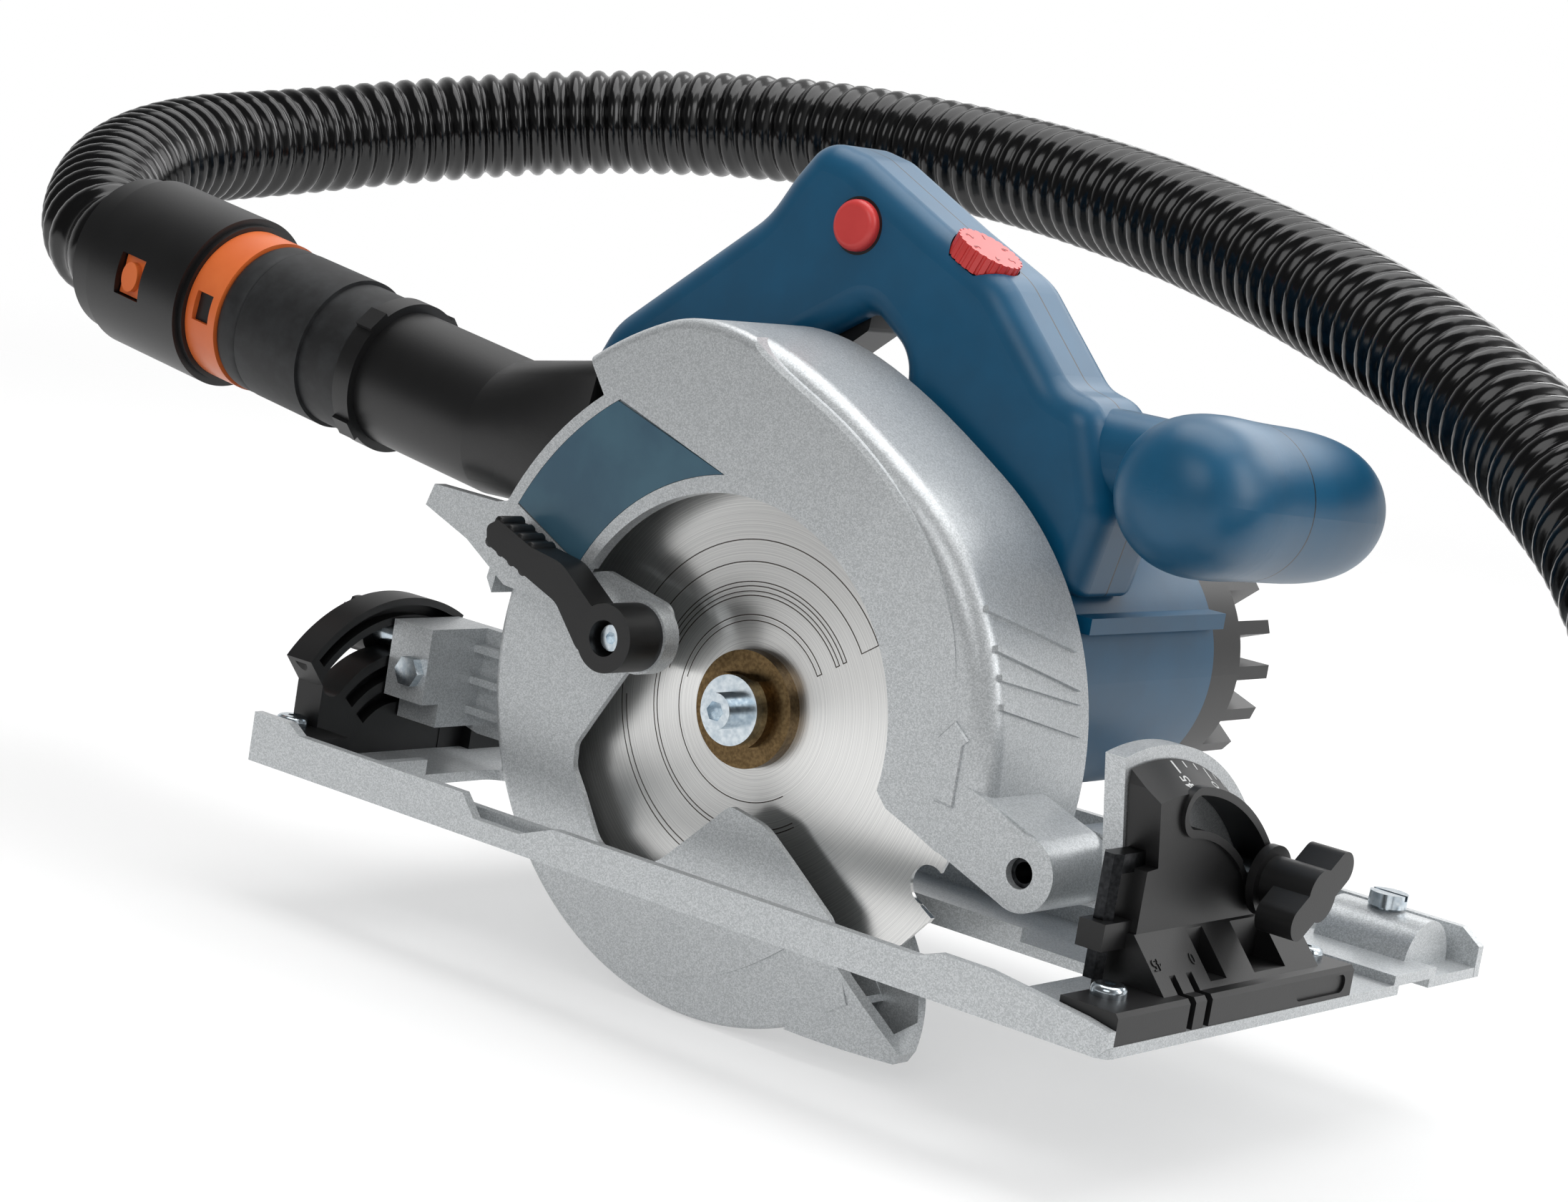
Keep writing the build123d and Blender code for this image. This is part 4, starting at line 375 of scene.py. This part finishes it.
# %% World
WORLD_FILL = 0.52
DIM_SIDE = Vector((-0.10, -0.88, 0.42)).normalized()
DIM_FROM, DIM_TO = -0.25, 0.75
ROOM_BRIGHT, ROOM_DIM = 0.85, 0.10

world = bpy.data.worlds.new("white_studio")
scene.world = world
world.use_nodes = True
tree = world.node_tree
tree.nodes.clear()
rays = add(tree, "ShaderNodeLightPath")
towards = add(tree, "ShaderNodeTexCoord").outputs["Generated"]
facing = add(tree, "ShaderNodeVectorMath", {0: towards, 1: DIM_SIDE}, operation="DOT_PRODUCT")
room = add(tree, "ShaderNodeMapRange",
           {"Value": facing.outputs["Value"], "From Min": DIM_FROM, "From Max": DIM_TO,
            "To Min": ROOM_BRIGHT, "To Max": ROOM_DIM}, interpolation_type="SMOOTHSTEP")
mirrored = add(tree, "ShaderNodeMath",
               {0: rays.outputs["Is Glossy Ray"], 1: rays.outputs["Is Transmission Ray"]},
               operation="MAXIMUM")
# inputs 2 and 3 of a mix node are the two numbers it mixes
lit = add(tree, "ShaderNodeMix", {"Factor": mirrored.outputs[0], 2: WORLD_FILL, 3: room.outputs["Result"]})
level = add(tree, "ShaderNodeMix", {"Factor": rays.outputs["Is Camera Ray"], 2: lit.outputs[0], 3: 1.0})
sky = add(tree, "ShaderNodeBackground", {"Color": linear("#ffffff"), "Strength": level.outputs[0]})
add(tree, "ShaderNodeOutputWorld", {"Surface": sky.outputs[0]})
print("world fill", WORLD_FILL)

# %% Lamps
# name, place and size in metres, power in watts
LAMPS = (("overhead_softbox", (-0.05, 0.3, 1.5), 1.5, 1.2, 13.5),
         ("front_softbox", (0.45, -1.45, 1.05), 1.0, 0.8, 5.0),
         ("right_strip", (1.25, 0.45, 0.75), 0.6, 1.1, 5.5),
         ("back_strip", (0.1, 1.35, 0.9), 1.4, 0.5, 5.5))
AIM = Vector((0.0, 0.03, 0.08))  # metres

for name, at, width, height, power in LAMPS:
    lamp = bpy.data.lights.new(name, "AREA")
    lamp.shape = "RECTANGLE"
    lamp.size = width
    lamp.size_y = height
    lamp.energy = power
    stand = bpy.data.objects.new(name, lamp)
    stand.location = at
    stand.rotation_euler = (AIM - Vector(at)).to_track_quat("-Z", "Y").to_euler()
    scene.collection.objects.link(stand)
print(len(LAMPS), "lamps")

# %% [markdown]
# ## Silver paint on the castings
# Guards, base and brackets are die-cast aluminium under a silver paint. Fine aluminium flakes in
# the paint sparkle, and the sand-like surface of the casting stays visible. Noise alone would look
# like stone, so the flakes are flat cells, each of one tone. They are about 0.1 mm in the paint;
# here they are drawn 0.3 mm wide so that they show.

# %% Die-cast silver paint
FLAKE = 0.32
CAST_SKIN = 0.7


def silver_paint(name, dark, light, roughness):
    material, tree, shader, place = new_finish(name, Metallic=0.45, Roughness=roughness, IOR=1.5,
                                               Coat_Weight=0.1, Coat_Roughness=0.35)
    flakes = add(tree, "ShaderNodeTexVoronoi", {"Vector": place, "Scale": per_metre(FLAKE)})
    tone = add(tree, "ShaderNodeSeparateColor", {"Color": flakes.outputs["Color"]}).outputs["Red"]
    tree.links.new(two_tones(tree, tone, dark, light, 0.15, 1.0), shader.inputs["Base Color"])
    skin = add(tree, "ShaderNodeTexNoise", {"Vector": place, "Scale": per_metre(CAST_SKIN), "Detail": 2.0})
    grain(tree, shader, skin.outputs["Fac"], depth_mm=0.06, strength=0.25)
    return material


SILVER = silver_paint("silver_paint_on_die_cast", "#b9bdbf", "#dcdfe1", 0.36)
print("finish", SILVER.name)

# %% [markdown]
# ## Moulded plastics
# The handle and motor shells are glass-filled nylon, moulded in a spark-eroded tool that leaves a
# fine satin grain. Buttons and latches are ABS, which comes out of the tool smoother. The panel is
# a printed film, and the hose is blown, so it is glossy. One function serves them all: a soft cloud
# of two near tones, and grain as bump. Grain of about 0.15 mm is drawn 0.25 to 0.45 mm wide.

# %% Plastics
CLOUD = 18.0


def moulded(name, dark, light, roughness, grain_mm, depth_mm):
    material, tree, shader, place = new_finish(name, Roughness=roughness, IOR=1.53)
    cloud = add(tree, "ShaderNodeTexNoise", {"Vector": place, "Scale": per_metre(CLOUD), "Detail": 4.0})
    tree.links.new(two_tones(tree, cloud.outputs["Fac"], dark, light), shader.inputs["Base Color"])
    pits = add(tree, "ShaderNodeTexNoise", {"Vector": place, "Scale": per_metre(grain_mm), "Detail": 2.0})
    grain(tree, shader, pits.outputs["Fac"], depth_mm, strength=0.3)
    return material


BLUE = moulded("blue_glass_filled_nylon", "#004f72", "#00557a", 0.38, 0.35, 0.05)
BLACK = moulded("black_glass_filled_nylon", "#0c0c0d", "#121213", 0.42, 0.45, 0.06)
RED = moulded("red_abs", "#cf3a38", "#d94240", 0.34, 0.3, 0.02)
ORANGE = moulded("orange_abs", "#de6a30", "#e97638", 0.36, 0.3, 0.02)
PANEL = moulded("blue_grey_printed_film", "#385a6e", "#426779", 0.3, 0.25, 0.01)
HOSE = moulded("black_polyethylene_hose", "#060607", "#0a0a0b", 0.16, 0.4, 0.01)
print("finishes", [finish.name for finish in (BLUE, BLACK, RED, ORANGE, PANEL, HOSE)])

# %% [markdown]
# ## Rubber
# The sleeve behind the orange ring is moulded rubber. It is matt, with a pale bloom in clouds of a
# few millimetres where it was handled. The same clouds also drive the bump, because the bloom sits
# where the surface is a little rough.

# %% Rubber
BLOOM = 9.0


def bloomed_rubber(name):
    material, tree, shader, place = new_finish(name, Roughness=0.62, IOR=1.52)
    bloom = add(tree, "ShaderNodeTexNoise",
                {"Vector": place, "Scale": per_metre(BLOOM), "Detail": 6.0, "Roughness": 0.62})
    tree.links.new(two_tones(tree, bloom.outputs["Fac"], "#141517", "#2b2d2f", 0.4, 0.75),
                   shader.inputs["Base Color"])
    grain(tree, shader, bloom.outputs["Fac"], depth_mm=0.15, strength=0.4)
    return material


RUBBER = bloomed_rubber("black_moulded_rubber")
print("finish", RUBBER.name)

# %% [markdown]
# ## Metals and carbon
# Screws are zinc-plated steel with a cold, bluish gloss. Springs, studs and the hex key are
# blackened steel. The clamping flanges are steel browned to a bronze tone. A metal keeps the
# default IOR, and its colour is the colour of its reflections. The motor's brushes are pressed
# carbon, which isn't a metal in looks, so they are made as the plastics are.

# %% Plated and blackened steel
def metal(name, dark, light, roughness, mark_mm):
    material, tree, shader, place = new_finish(name, Metallic=1.0, Roughness=roughness)
    marks = add(tree, "ShaderNodeTexNoise", {"Vector": place, "Scale": per_metre(mark_mm), "Detail": 4.0})
    tree.links.new(two_tones(tree, marks.outputs["Fac"], dark, light), shader.inputs["Base Color"])
    grain(tree, shader, marks.outputs["Fac"], depth_mm=0.02, strength=0.2)
    return material


ZINC = metal("zinc_plated_steel", "#b6c2cb", "#d3dbe0", 0.2, 1.5)
DARK = metal("blackened_steel", "#2a2b2d", "#3a3b3d", 0.36, 1.2)
BRONZE = metal("browned_steel_flange", "#5e4c34", "#7b6647", 0.34, 1.0)
BEARING = metal("bearing_steel", "#9a9c9e", "#b8babc", 0.25, 1.0)
CARBON = moulded("carbon_brush", "#141414", "#1c1c1c", 0.5, 0.5, 0.05)
print("finishes", [finish.name for finish in (ZINC, DARK, BRONZE, BEARING, CARBON)])

# %% [markdown]
# ## Ground blade steel
# The blade is ground on a turntable, so the scratches run round it in circles. They spread each
# reflection along the radius, which makes the bright and dark wedges. Painted wedges would stay
# put when the blade turns; an anisotropic shader with a radial tangent moves them as light does.
# Real scratches are finer than a hair; the lines are drawn 0.35 mm wide.

# %% Blade
ARBOR = Vector((0.0, 0.0, 47.3)) * MM
SCRATCH = 0.35


def ground_blade(name):
    material, tree, shader, place = new_finish(name, Metallic=1.0, Roughness=0.28, Anisotropic=0.85,
                                               Anisotropic_Rotation=0.25)
    around = add(tree, "ShaderNodeTangent", direction_type="RADIAL", axis="Y")
    tree.links.new(around.outputs["Tangent"], shader.inputs["Tangent"])
    from_hub = add(tree, "ShaderNodeVectorMath", {0: place, 1: ARBOR}, operation="SUBTRACT")
    flat = add(tree, "ShaderNodeVectorMath", {0: from_hub.outputs[0], 1: (1, 0, 1)}, operation="MULTIPLY")
    radius = add(tree, "ShaderNodeVectorMath", {0: flat.outputs[0]}, operation="LENGTH").outputs["Value"]
    lines = add(tree, "ShaderNodeTexNoise", {"W": radius, "Scale": per_metre(SCRATCH), "Detail": 2.0},
                noise_dimensions="1D")
    tree.links.new(two_tones(tree, lines.outputs["Fac"], "#d3d3d2", "#eaeae8"), shader.inputs["Base Color"])
    grain(tree, shader, lines.outputs["Fac"], depth_mm=0.01, strength=0.25)
    return material


BLADE = ground_blade("ground_blade_steel")
print("finish", BLADE.name)

# %% [markdown]
# ## Finishes on the solids
# Each piece of the real saw is of one material. Finishes could be given piece by piece, but the record
# already names a slot for each solid, so one table from slot to finish dresses them all.

# %% Dress the solids
FINISHES = {"die_cast": SILVER, "black_plastic": BLACK, "blue_plastic": BLUE, "panel_film": PANEL,
            "red_plastic": RED, "orange_plastic": ORANGE, "black_rubber": RUBBER, "hose_plastic": HOSE,
            "zinc_steel": ZINC, "dark_steel": DARK, "blade_steel": BLADE, "bronze": BRONZE,
            "bearing_steel": BEARING, "carbon": CARBON}

for part in frame["record"]["subparts"]:
    dress(nodes[part["node"]], FINISHES[part["material_slot"]])
dress(hose, HOSE)

# %% [markdown]
# ## Parting line
# The handle is two moulded halves that meet in one plane. The joint shows as a dark hairline, here a
# band 0.6 mm wide in the finish, because a real groove that fine would need a very dense mesh.

# %% Parting line of the handle
PARTING_Y = 54.0
PARTING_HALF = 0.3
PARTING_TONE = "#021019"

SHELL_BLUE = BLUE.copy()
SHELL_BLUE.name = "blue_nylon_with_parting_line"
tree = SHELL_BLUE.node_tree
shader = tree.nodes["Principled BSDF"]
tone = shader.inputs["Base Color"].links[0].from_socket
place = add(tree, "ShaderNodeTexCoord").outputs["Object"]
across = add(tree, "ShaderNodeSeparateXYZ", {0: place}).outputs["Y"]
seam = add(tree, "ShaderNodeMath", {0: across, 1: PARTING_Y * MM, 2: PARTING_HALF * MM},
           operation="COMPARE")
# inputs 6 and 7 of a mix node are the two colours it mixes, and output 2 is the mixed colour
lined = add(tree, "ShaderNodeMix", {0: seam.outputs[0], 6: tone, 7: linear(PARTING_TONE)}, data_type="RGBA")
tree.links.new(lined.outputs[2], shader.inputs["Base Color"])
for name in ("handle_near_shell", "handle_far_shell"):
    dress(nodes[name], SHELL_BLUE)
print("finish", SHELL_BLUE.name)

# %% [markdown]
# ## Helpers for the fine pieces
# Lines, marks and small raised forms are thin closed solids that lie on a surface, a little sunk so
# that no gap shows. Numbers could be drawn by hand, but the plain built-in font is generic and even.
# They are laid on the surface point by point, so they follow a cone as well as a flat face.

# %% Numbers and fine pieces
CURVE_STEPS = 3
WELD = 1e-7  # metres


def add_number(solid, text, size, thickness, on_surface):
    """Lay a raised number on a surface; on_surface turns across, up and height into a point."""
    vertices, faces = solid
    curve = bpy.data.curves.new("number", "FONT")
    curve.body = text
    curve.size = size
    curve.extrude = thickness / 2
    curve.resolution_u = CURVE_STEPS
    curve.align_x = "CENTER"
    curve.align_y = "CENTER"
    line = bpy.data.objects.new("number", curve)
    scene.collection.objects.link(line)
    mesh = bpy.data.meshes.new_from_object(line)
    start = len(vertices)
    vertices.extend(on_surface(*v.co) for v in mesh.vertices)
    faces.extend(tuple(start + i for i in p.vertices) for p in mesh.polygons)
    bpy.data.objects.remove(line)


def fine_piece(name, solid, body, finish, smooth=False):
    """Make a piece of these faces, close its seams, and let it ride on a body."""
    piece = link_mesh(name, [Vector(v) * MM for v in solid[0]], solid[1], smooth)
    work = bmesh.new()
    work.from_mesh(piece.data)
    bmesh.ops.remove_doubles(work, verts=work.verts, dist=WELD)
    bmesh.ops.recalc_face_normals(work, faces=work.faces)
    work.to_mesh(piece.data)
    work.free()
    dress(piece, finish)
    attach(piece, body)
    print(name, "of", len(piece.data.polygons), "faces")


# %% [markdown]
# ## Lines on the blade
# A laser burns fine rings into the blade. They end in a cross line where the maker's print stood,
# which stays bare here. A pattern in the finish would blur at this width, so the rings are strips,
# drawn 0.3 mm wide, that turn with the blade.

# %% Blade lines
BLADE_FACE = -0.6
LINE_HALF = 0.15
LINE_FOOT = BLADE_FACE + 0.05
RING_TOP = BLADE_FACE - 0.03
CROSS_TOP = BLADE_FACE - 0.035  # not quite the rings' height, so that no two faces share a plane
RING_STEP = 3
# radius, first and last angle in degrees
BLADE_RINGS = ((46.2, 34.8, 300), (44.6, 188, 300), (40.2, 34.8, 172), (34.7, 34.5, 306), (33.5, 34.5, 306),
               (32.1, 34.5, 172), (30.9, 34.5, 172), (25.7, 34.6, 306), (24.1, 34.6, 172))
# angle in degrees, inner and outer radius
CROSS_LINES = ((34.8, 40.2, 46.2), (34.5, 33.5, 34.7), (34.5, 30.9, 32.1), (34.6, 24.1, 25.7))
BURNT = metal("laser_burnt_steel", "#4a4440", "#5a534e", 0.5, 0.8)


def on_blade(radius, degrees, y):
    a = math.radians(degrees)
    return (radius * math.cos(a), y, ARBOR.z / MM + radius * math.sin(a))


burnt = ([], [])
for radius, first, end in BLADE_RINGS:
    steps = round((end - first) / RING_STEP)
    strip = rectangle(-LINE_HALF, LINE_HALF, LINE_FOOT, RING_TOP)
    add_bar(burnt, [[on_blade(radius + out, first + (end - first) * i / steps, y) for out, y in strip]
                    for i in range(steps + 1)])
for degrees, inner, outer in CROSS_LINES:
    turn = math.degrees(LINE_HALF / outer)
    strip = rectangle(-turn, turn, LINE_FOOT, CROSS_TOP)
    add_bar(burnt, [[on_blade(radius, degrees + sideways, y) for sideways, y in strip]
                    for radius in (inner - LINE_HALF, outer + LINE_HALF)])
fine_piece("blade_laser_lines", burnt, "arbor", BURNT)

# %% [markdown]
# ## Turning arrow
# A plain arrow is cast on the guard to show which way the blade turns. It stands 0.7 mm proud, with
# a sloped edge as castings have, so it is a stack of three sizes of one outline.

# %% Arrow on the guard
ARROW = ((74.8, 62.6), (70.4, 57.4), (72.2, 57.0), (72.3, 41.0), (78.3, 40.4), (78.3, 57.0), (79.9, 58.6))
ARROW_LAYERS = ((-13.3, 1.02), (-13.9, 1.0), (-14.2, 0.94))  # y and size

mid_x = sum(x for x, z in ARROW) / len(ARROW)
mid_z = sum(z for x, z in ARROW) / len(ARROW)
arrow = ([], [])
add_bar(arrow, [[(mid_x + (x - mid_x) * size, y, mid_z + (z - mid_z) * size) for x, z in ARROW]
                for y, size in ARROW_LAYERS])
fine_piece("turning_arrow", arrow, "saw", SILVER)

# %% [markdown]
# ## Tilt scale
# The edge of the front quadrant is a cone with white ticks every 5 degrees and plain numbers, so
# that the tilt can be read from above. The print could be a texture, but thin strips on the cone
# stay sharp. They are printed 0.05 mm thick; drawn 0.1 mm here.

# %% Tilt scale
CONE_X = (129.3, 139.0)
CONE_R = (65.5, 59.0)
SCALE_ZERO = 47.0
SCALE_END = 45
TICK_EVERY = 5
LONG_EVERY = 15
# where a tick starts and ends, as parts of the way down the slope; True stands for a long tick
TICK_TOP = 0.06
TICK_FOOT = {True: 0.42, False: 0.24}
TICK_HALF = {True: 0.38, False: 0.28}
TICK_SUNK, TICK_PROUD = -0.05, 0.08
TILT_NUMBER = 5.2
TILT_NUMBER_T = 0.1
TILT_NUMBER_UP = 0.03
TILT_NUMBER_PART = 0.69
WHITE = moulded("white_pad_print", "#dcdddc", "#eceded", 0.5, 0.3, 0.01)
cone_slope = Vector((CONE_X[1] - CONE_X[0], 0, CONE_R[1] - CONE_R[0]))
cone_out = Vector((CONE_R[0] - CONE_R[1], 0, CONE_X[1] - CONE_X[0])).normalized()


def on_cone(part, phi, side, height):
    """A point on the scale: part of the way down the slope, angle, mm sideways, mm out."""
    base = Vector((CONE_X[0], 0, CONE_R[0])) + cone_slope * part + cone_out * height
    a = math.radians(phi) + side / base.z
    return (base.x, base.z * math.sin(a), base.z * math.cos(a))


ticks = ([], [])
for tilt in range(0, SCALE_END + 1, TICK_EVERY):
    phi = SCALE_ZERO - tilt
    is_long = tilt % LONG_EVERY == 0
    strip = rectangle(-TICK_HALF[is_long], TICK_HALF[is_long], TICK_SUNK, TICK_PROUD)
    add_bar(ticks, [[on_cone(part, phi, side, height) for side, height in strip]
                    for part in (TICK_TOP, TICK_FOOT[is_long])])
    if is_long:
        add_number(ticks, str(tilt), TILT_NUMBER, TILT_NUMBER_T, lambda across, up, height: on_cone(
            TILT_NUMBER_PART - across / cone_slope.length, phi, -up, TILT_NUMBER_UP + height))
fine_piece("tilt_scale", ticks, "base", WHITE)

# %% [markdown]
# ## Raised marks by the sight notches
# The two notches in the front edge show the cutting line upright and at full tilt. The numbers
# beside them are moulded with the bar and have its colour, so they are raised forms and not print.
# They face the person who saws.

# %% Notch marks
SLANT_TOP = Vector((139.0, 0, 24.0))
SLANT_FOOT = Vector((150.5, 0, 11.2))
NOTCH_NUMBERS = (("45", -12.4), ("0", 4.4))  # text and y
NOTCH_NUMBER = 4.6
NOTCH_NUMBER_T = 0.6
NOTCH_DOWN = 8.5

slant_down = (SLANT_FOOT - SLANT_TOP).normalized()
slant_out = Vector((-slant_down.z, 0, slant_down.x))
marks = ([], [])
for text, y in NOTCH_NUMBERS:
    add_number(marks, text, NOTCH_NUMBER, NOTCH_NUMBER_T, lambda across, up, height:
               SLANT_TOP + slant_down * (NOTCH_DOWN + up) + Vector((0, y - across, 0)) + slant_out * height)
fine_piece("notch_marks", marks, "base", BLACK)

# %% [markdown]
# ## Grip on the guard lever
# The end of the lever has a row of round bumps on both edges for the thumb. Each is a short bar
# across the lever, half sunk in its edge, with its ends rounded off.

# %% Lever bumps
LEVER_SIDES = (-27.9, -18.1)
BUMP_R = 1.7
BUMP_END_R = 0.8 * BUMP_R
BUMP_BEVEL = 0.5
BUMP_LAYERS = ((LEVER_SIDES[0], BUMP_END_R), (LEVER_SIDES[0] + BUMP_BEVEL, BUMP_R),
               (LEVER_SIDES[1] - BUMP_BEVEL, BUMP_R), (LEVER_SIDES[1], BUMP_END_R))
BUMP_SIDES = 12
BUMPS = 4
BUMP_ROWS = (((-64.5, 78.6), (-77.0, 83.3)), ((-79.4, 77.3), (-66.0, 72.0)))

bumps = ([], [])
for (x0, z0), (x1, z1) in BUMP_ROWS:
    for i in range(BUMPS):
        part = i / (BUMPS - 1)
        x, z = x0 + (x1 - x0) * part, z0 + (z1 - z0) * part
        add_bar(bumps, [[(x + r * math.cos(a), y, z + r * math.sin(a)) for a in round_angles(BUMP_SIDES)]
                        for y, r in BUMP_LAYERS])
fine_piece("lever_grip_bumps", bumps, "swing_guard", BLACK, True)

# %% [markdown]
# ## Rolled lip of the sleeve
# The rubber sleeve ends in a thicker rolled lip beside the orange ring, which grips the pipe inside.
# A torus would be too round for it, so a flat-topped profile is turned about the dust line.

# %% Sleeve lip
LIP_AT = 95.6
# distance along the line, radius
LIP_PROFILE = ((-4.2, 21.8), (-3.9, 22.5), (-3.0, 22.95), (-1.5, 23.1), (1.5, 23.1), (3.0, 22.95),
               (3.9, 22.5), (4.2, 21.8))
TURNED_SIDES = 120
dust_up = Vector((DUST_DIR.z, 0, -DUST_DIR.x))


def on_dust_line(along_line, sideways, rise):
    """A point by the dust line, from its start at the guard."""
    return DUST_AT + DUST_DIR * along_line + Vector((0, sideways, 0)) + dust_up * rise


lip = ([], [])
add_bar(lip, [[on_dust_line(LIP_AT + s, r * math.cos(a), r * math.sin(a)) for s, r in LIP_PROFILE]
              for a in round_angles(TURNED_SIDES)], ring=True)
fine_piece("sleeve_lip", lip, "saw", RUBBER, True)

# %% [markdown]
# ## Window in the orange ring
# A latch of the coupling snaps into a window in the orange ring. The solid has it as a pocket 2 mm
# deep. The pipe behind a real window is black, so a thin black plate lies on the pocket's floor.

# %% Ring window
WINDOW_S = (103.1, 109.9)
WINDOW_HALF = 4.4
WINDOW_SIDEWAYS = (-21.8, -21.4)  # the pocket's floor lies between

window = ([], [])
add_bar(window, [[on_dust_line(s, sideways, rise)
                  for s, rise in rectangle(*WINDOW_S, -WINDOW_HALF, WINDOW_HALF)]
                 for sideways in WINDOW_SIDEWAYS])
fine_piece("ring_window_floor", window, "saw", BLACK)

# %% [markdown]
# ## Dial numbers and button gap
# The speed dial is numbered from 1 to 6 on its face, and the numbers turn with it. The lock-off
# button sits in a round hole, and the gap round it lies in shade. The solids fit too closely there
# to cast that shadow, so a thin flat black ring is painted shade in the gap.

# %% Dial numbers
DIAL_AT = Vector((17.0, 47.0, 174.6))
DIAL_TILT = math.radians(24.7)
DIAL_T = 6.0
DIAL_NUMBERS = 6
DIAL_FIRST = math.radians(150)
DIAL_NUMBER = 3.6
DIAL_NUMBER_T = 0.16
DIAL_NUMBER_R = 6.6
DEEP_RED = moulded("deep_red_print", "#8f2523", "#992a28", 0.4, 0.3, 0.01)

dial_down = Vector((math.cos(DIAL_TILT), 0, -math.sin(DIAL_TILT)))
dial_up = Vector((math.sin(DIAL_TILT), 0, math.cos(DIAL_TILT)))
dial_side = Vector((0, 1, 0))
digits = ([], [])
for number, a in enumerate(round_angles(DIAL_NUMBERS), 1):
    out = dial_down * math.cos(DIAL_FIRST + a) + dial_side * math.sin(DIAL_FIRST + a)
    turn = dial_up.cross(out)
    add_number(digits, str(number), DIAL_NUMBER, DIAL_NUMBER_T, lambda across, up, height:
               DIAL_AT + out * (DIAL_NUMBER_R + up) - turn * across + dial_up * (DIAL_T + height))
fine_piece("dial_numbers", digits, "dial", DEEP_RED)

# %% Painted shade in the gap round the button
BUTTON_AT = (-19.0, 179.7)
BUTTON_GAP = (7.4, 8.2)
HANDLE_NEAR = 37.0
GAP_FOOT = HANDLE_NEAR + 0.3
GAP_TOP = HANDLE_NEAR - 0.06

# a thin flat black ring that paints the shade in the gap round the button
gap = ([], [])
add_bar(gap, [[(BUTTON_AT[0] + r * math.cos(a), y, BUTTON_AT[1] + r * math.sin(a))
               for r, y in rectangle(*BUTTON_GAP, GAP_FOOT, GAP_TOP)]
              for a in round_angles(TURNED_SIDES)], ring=True)
fine_piece("button_gap_ring", gap, "saw", BLACK)
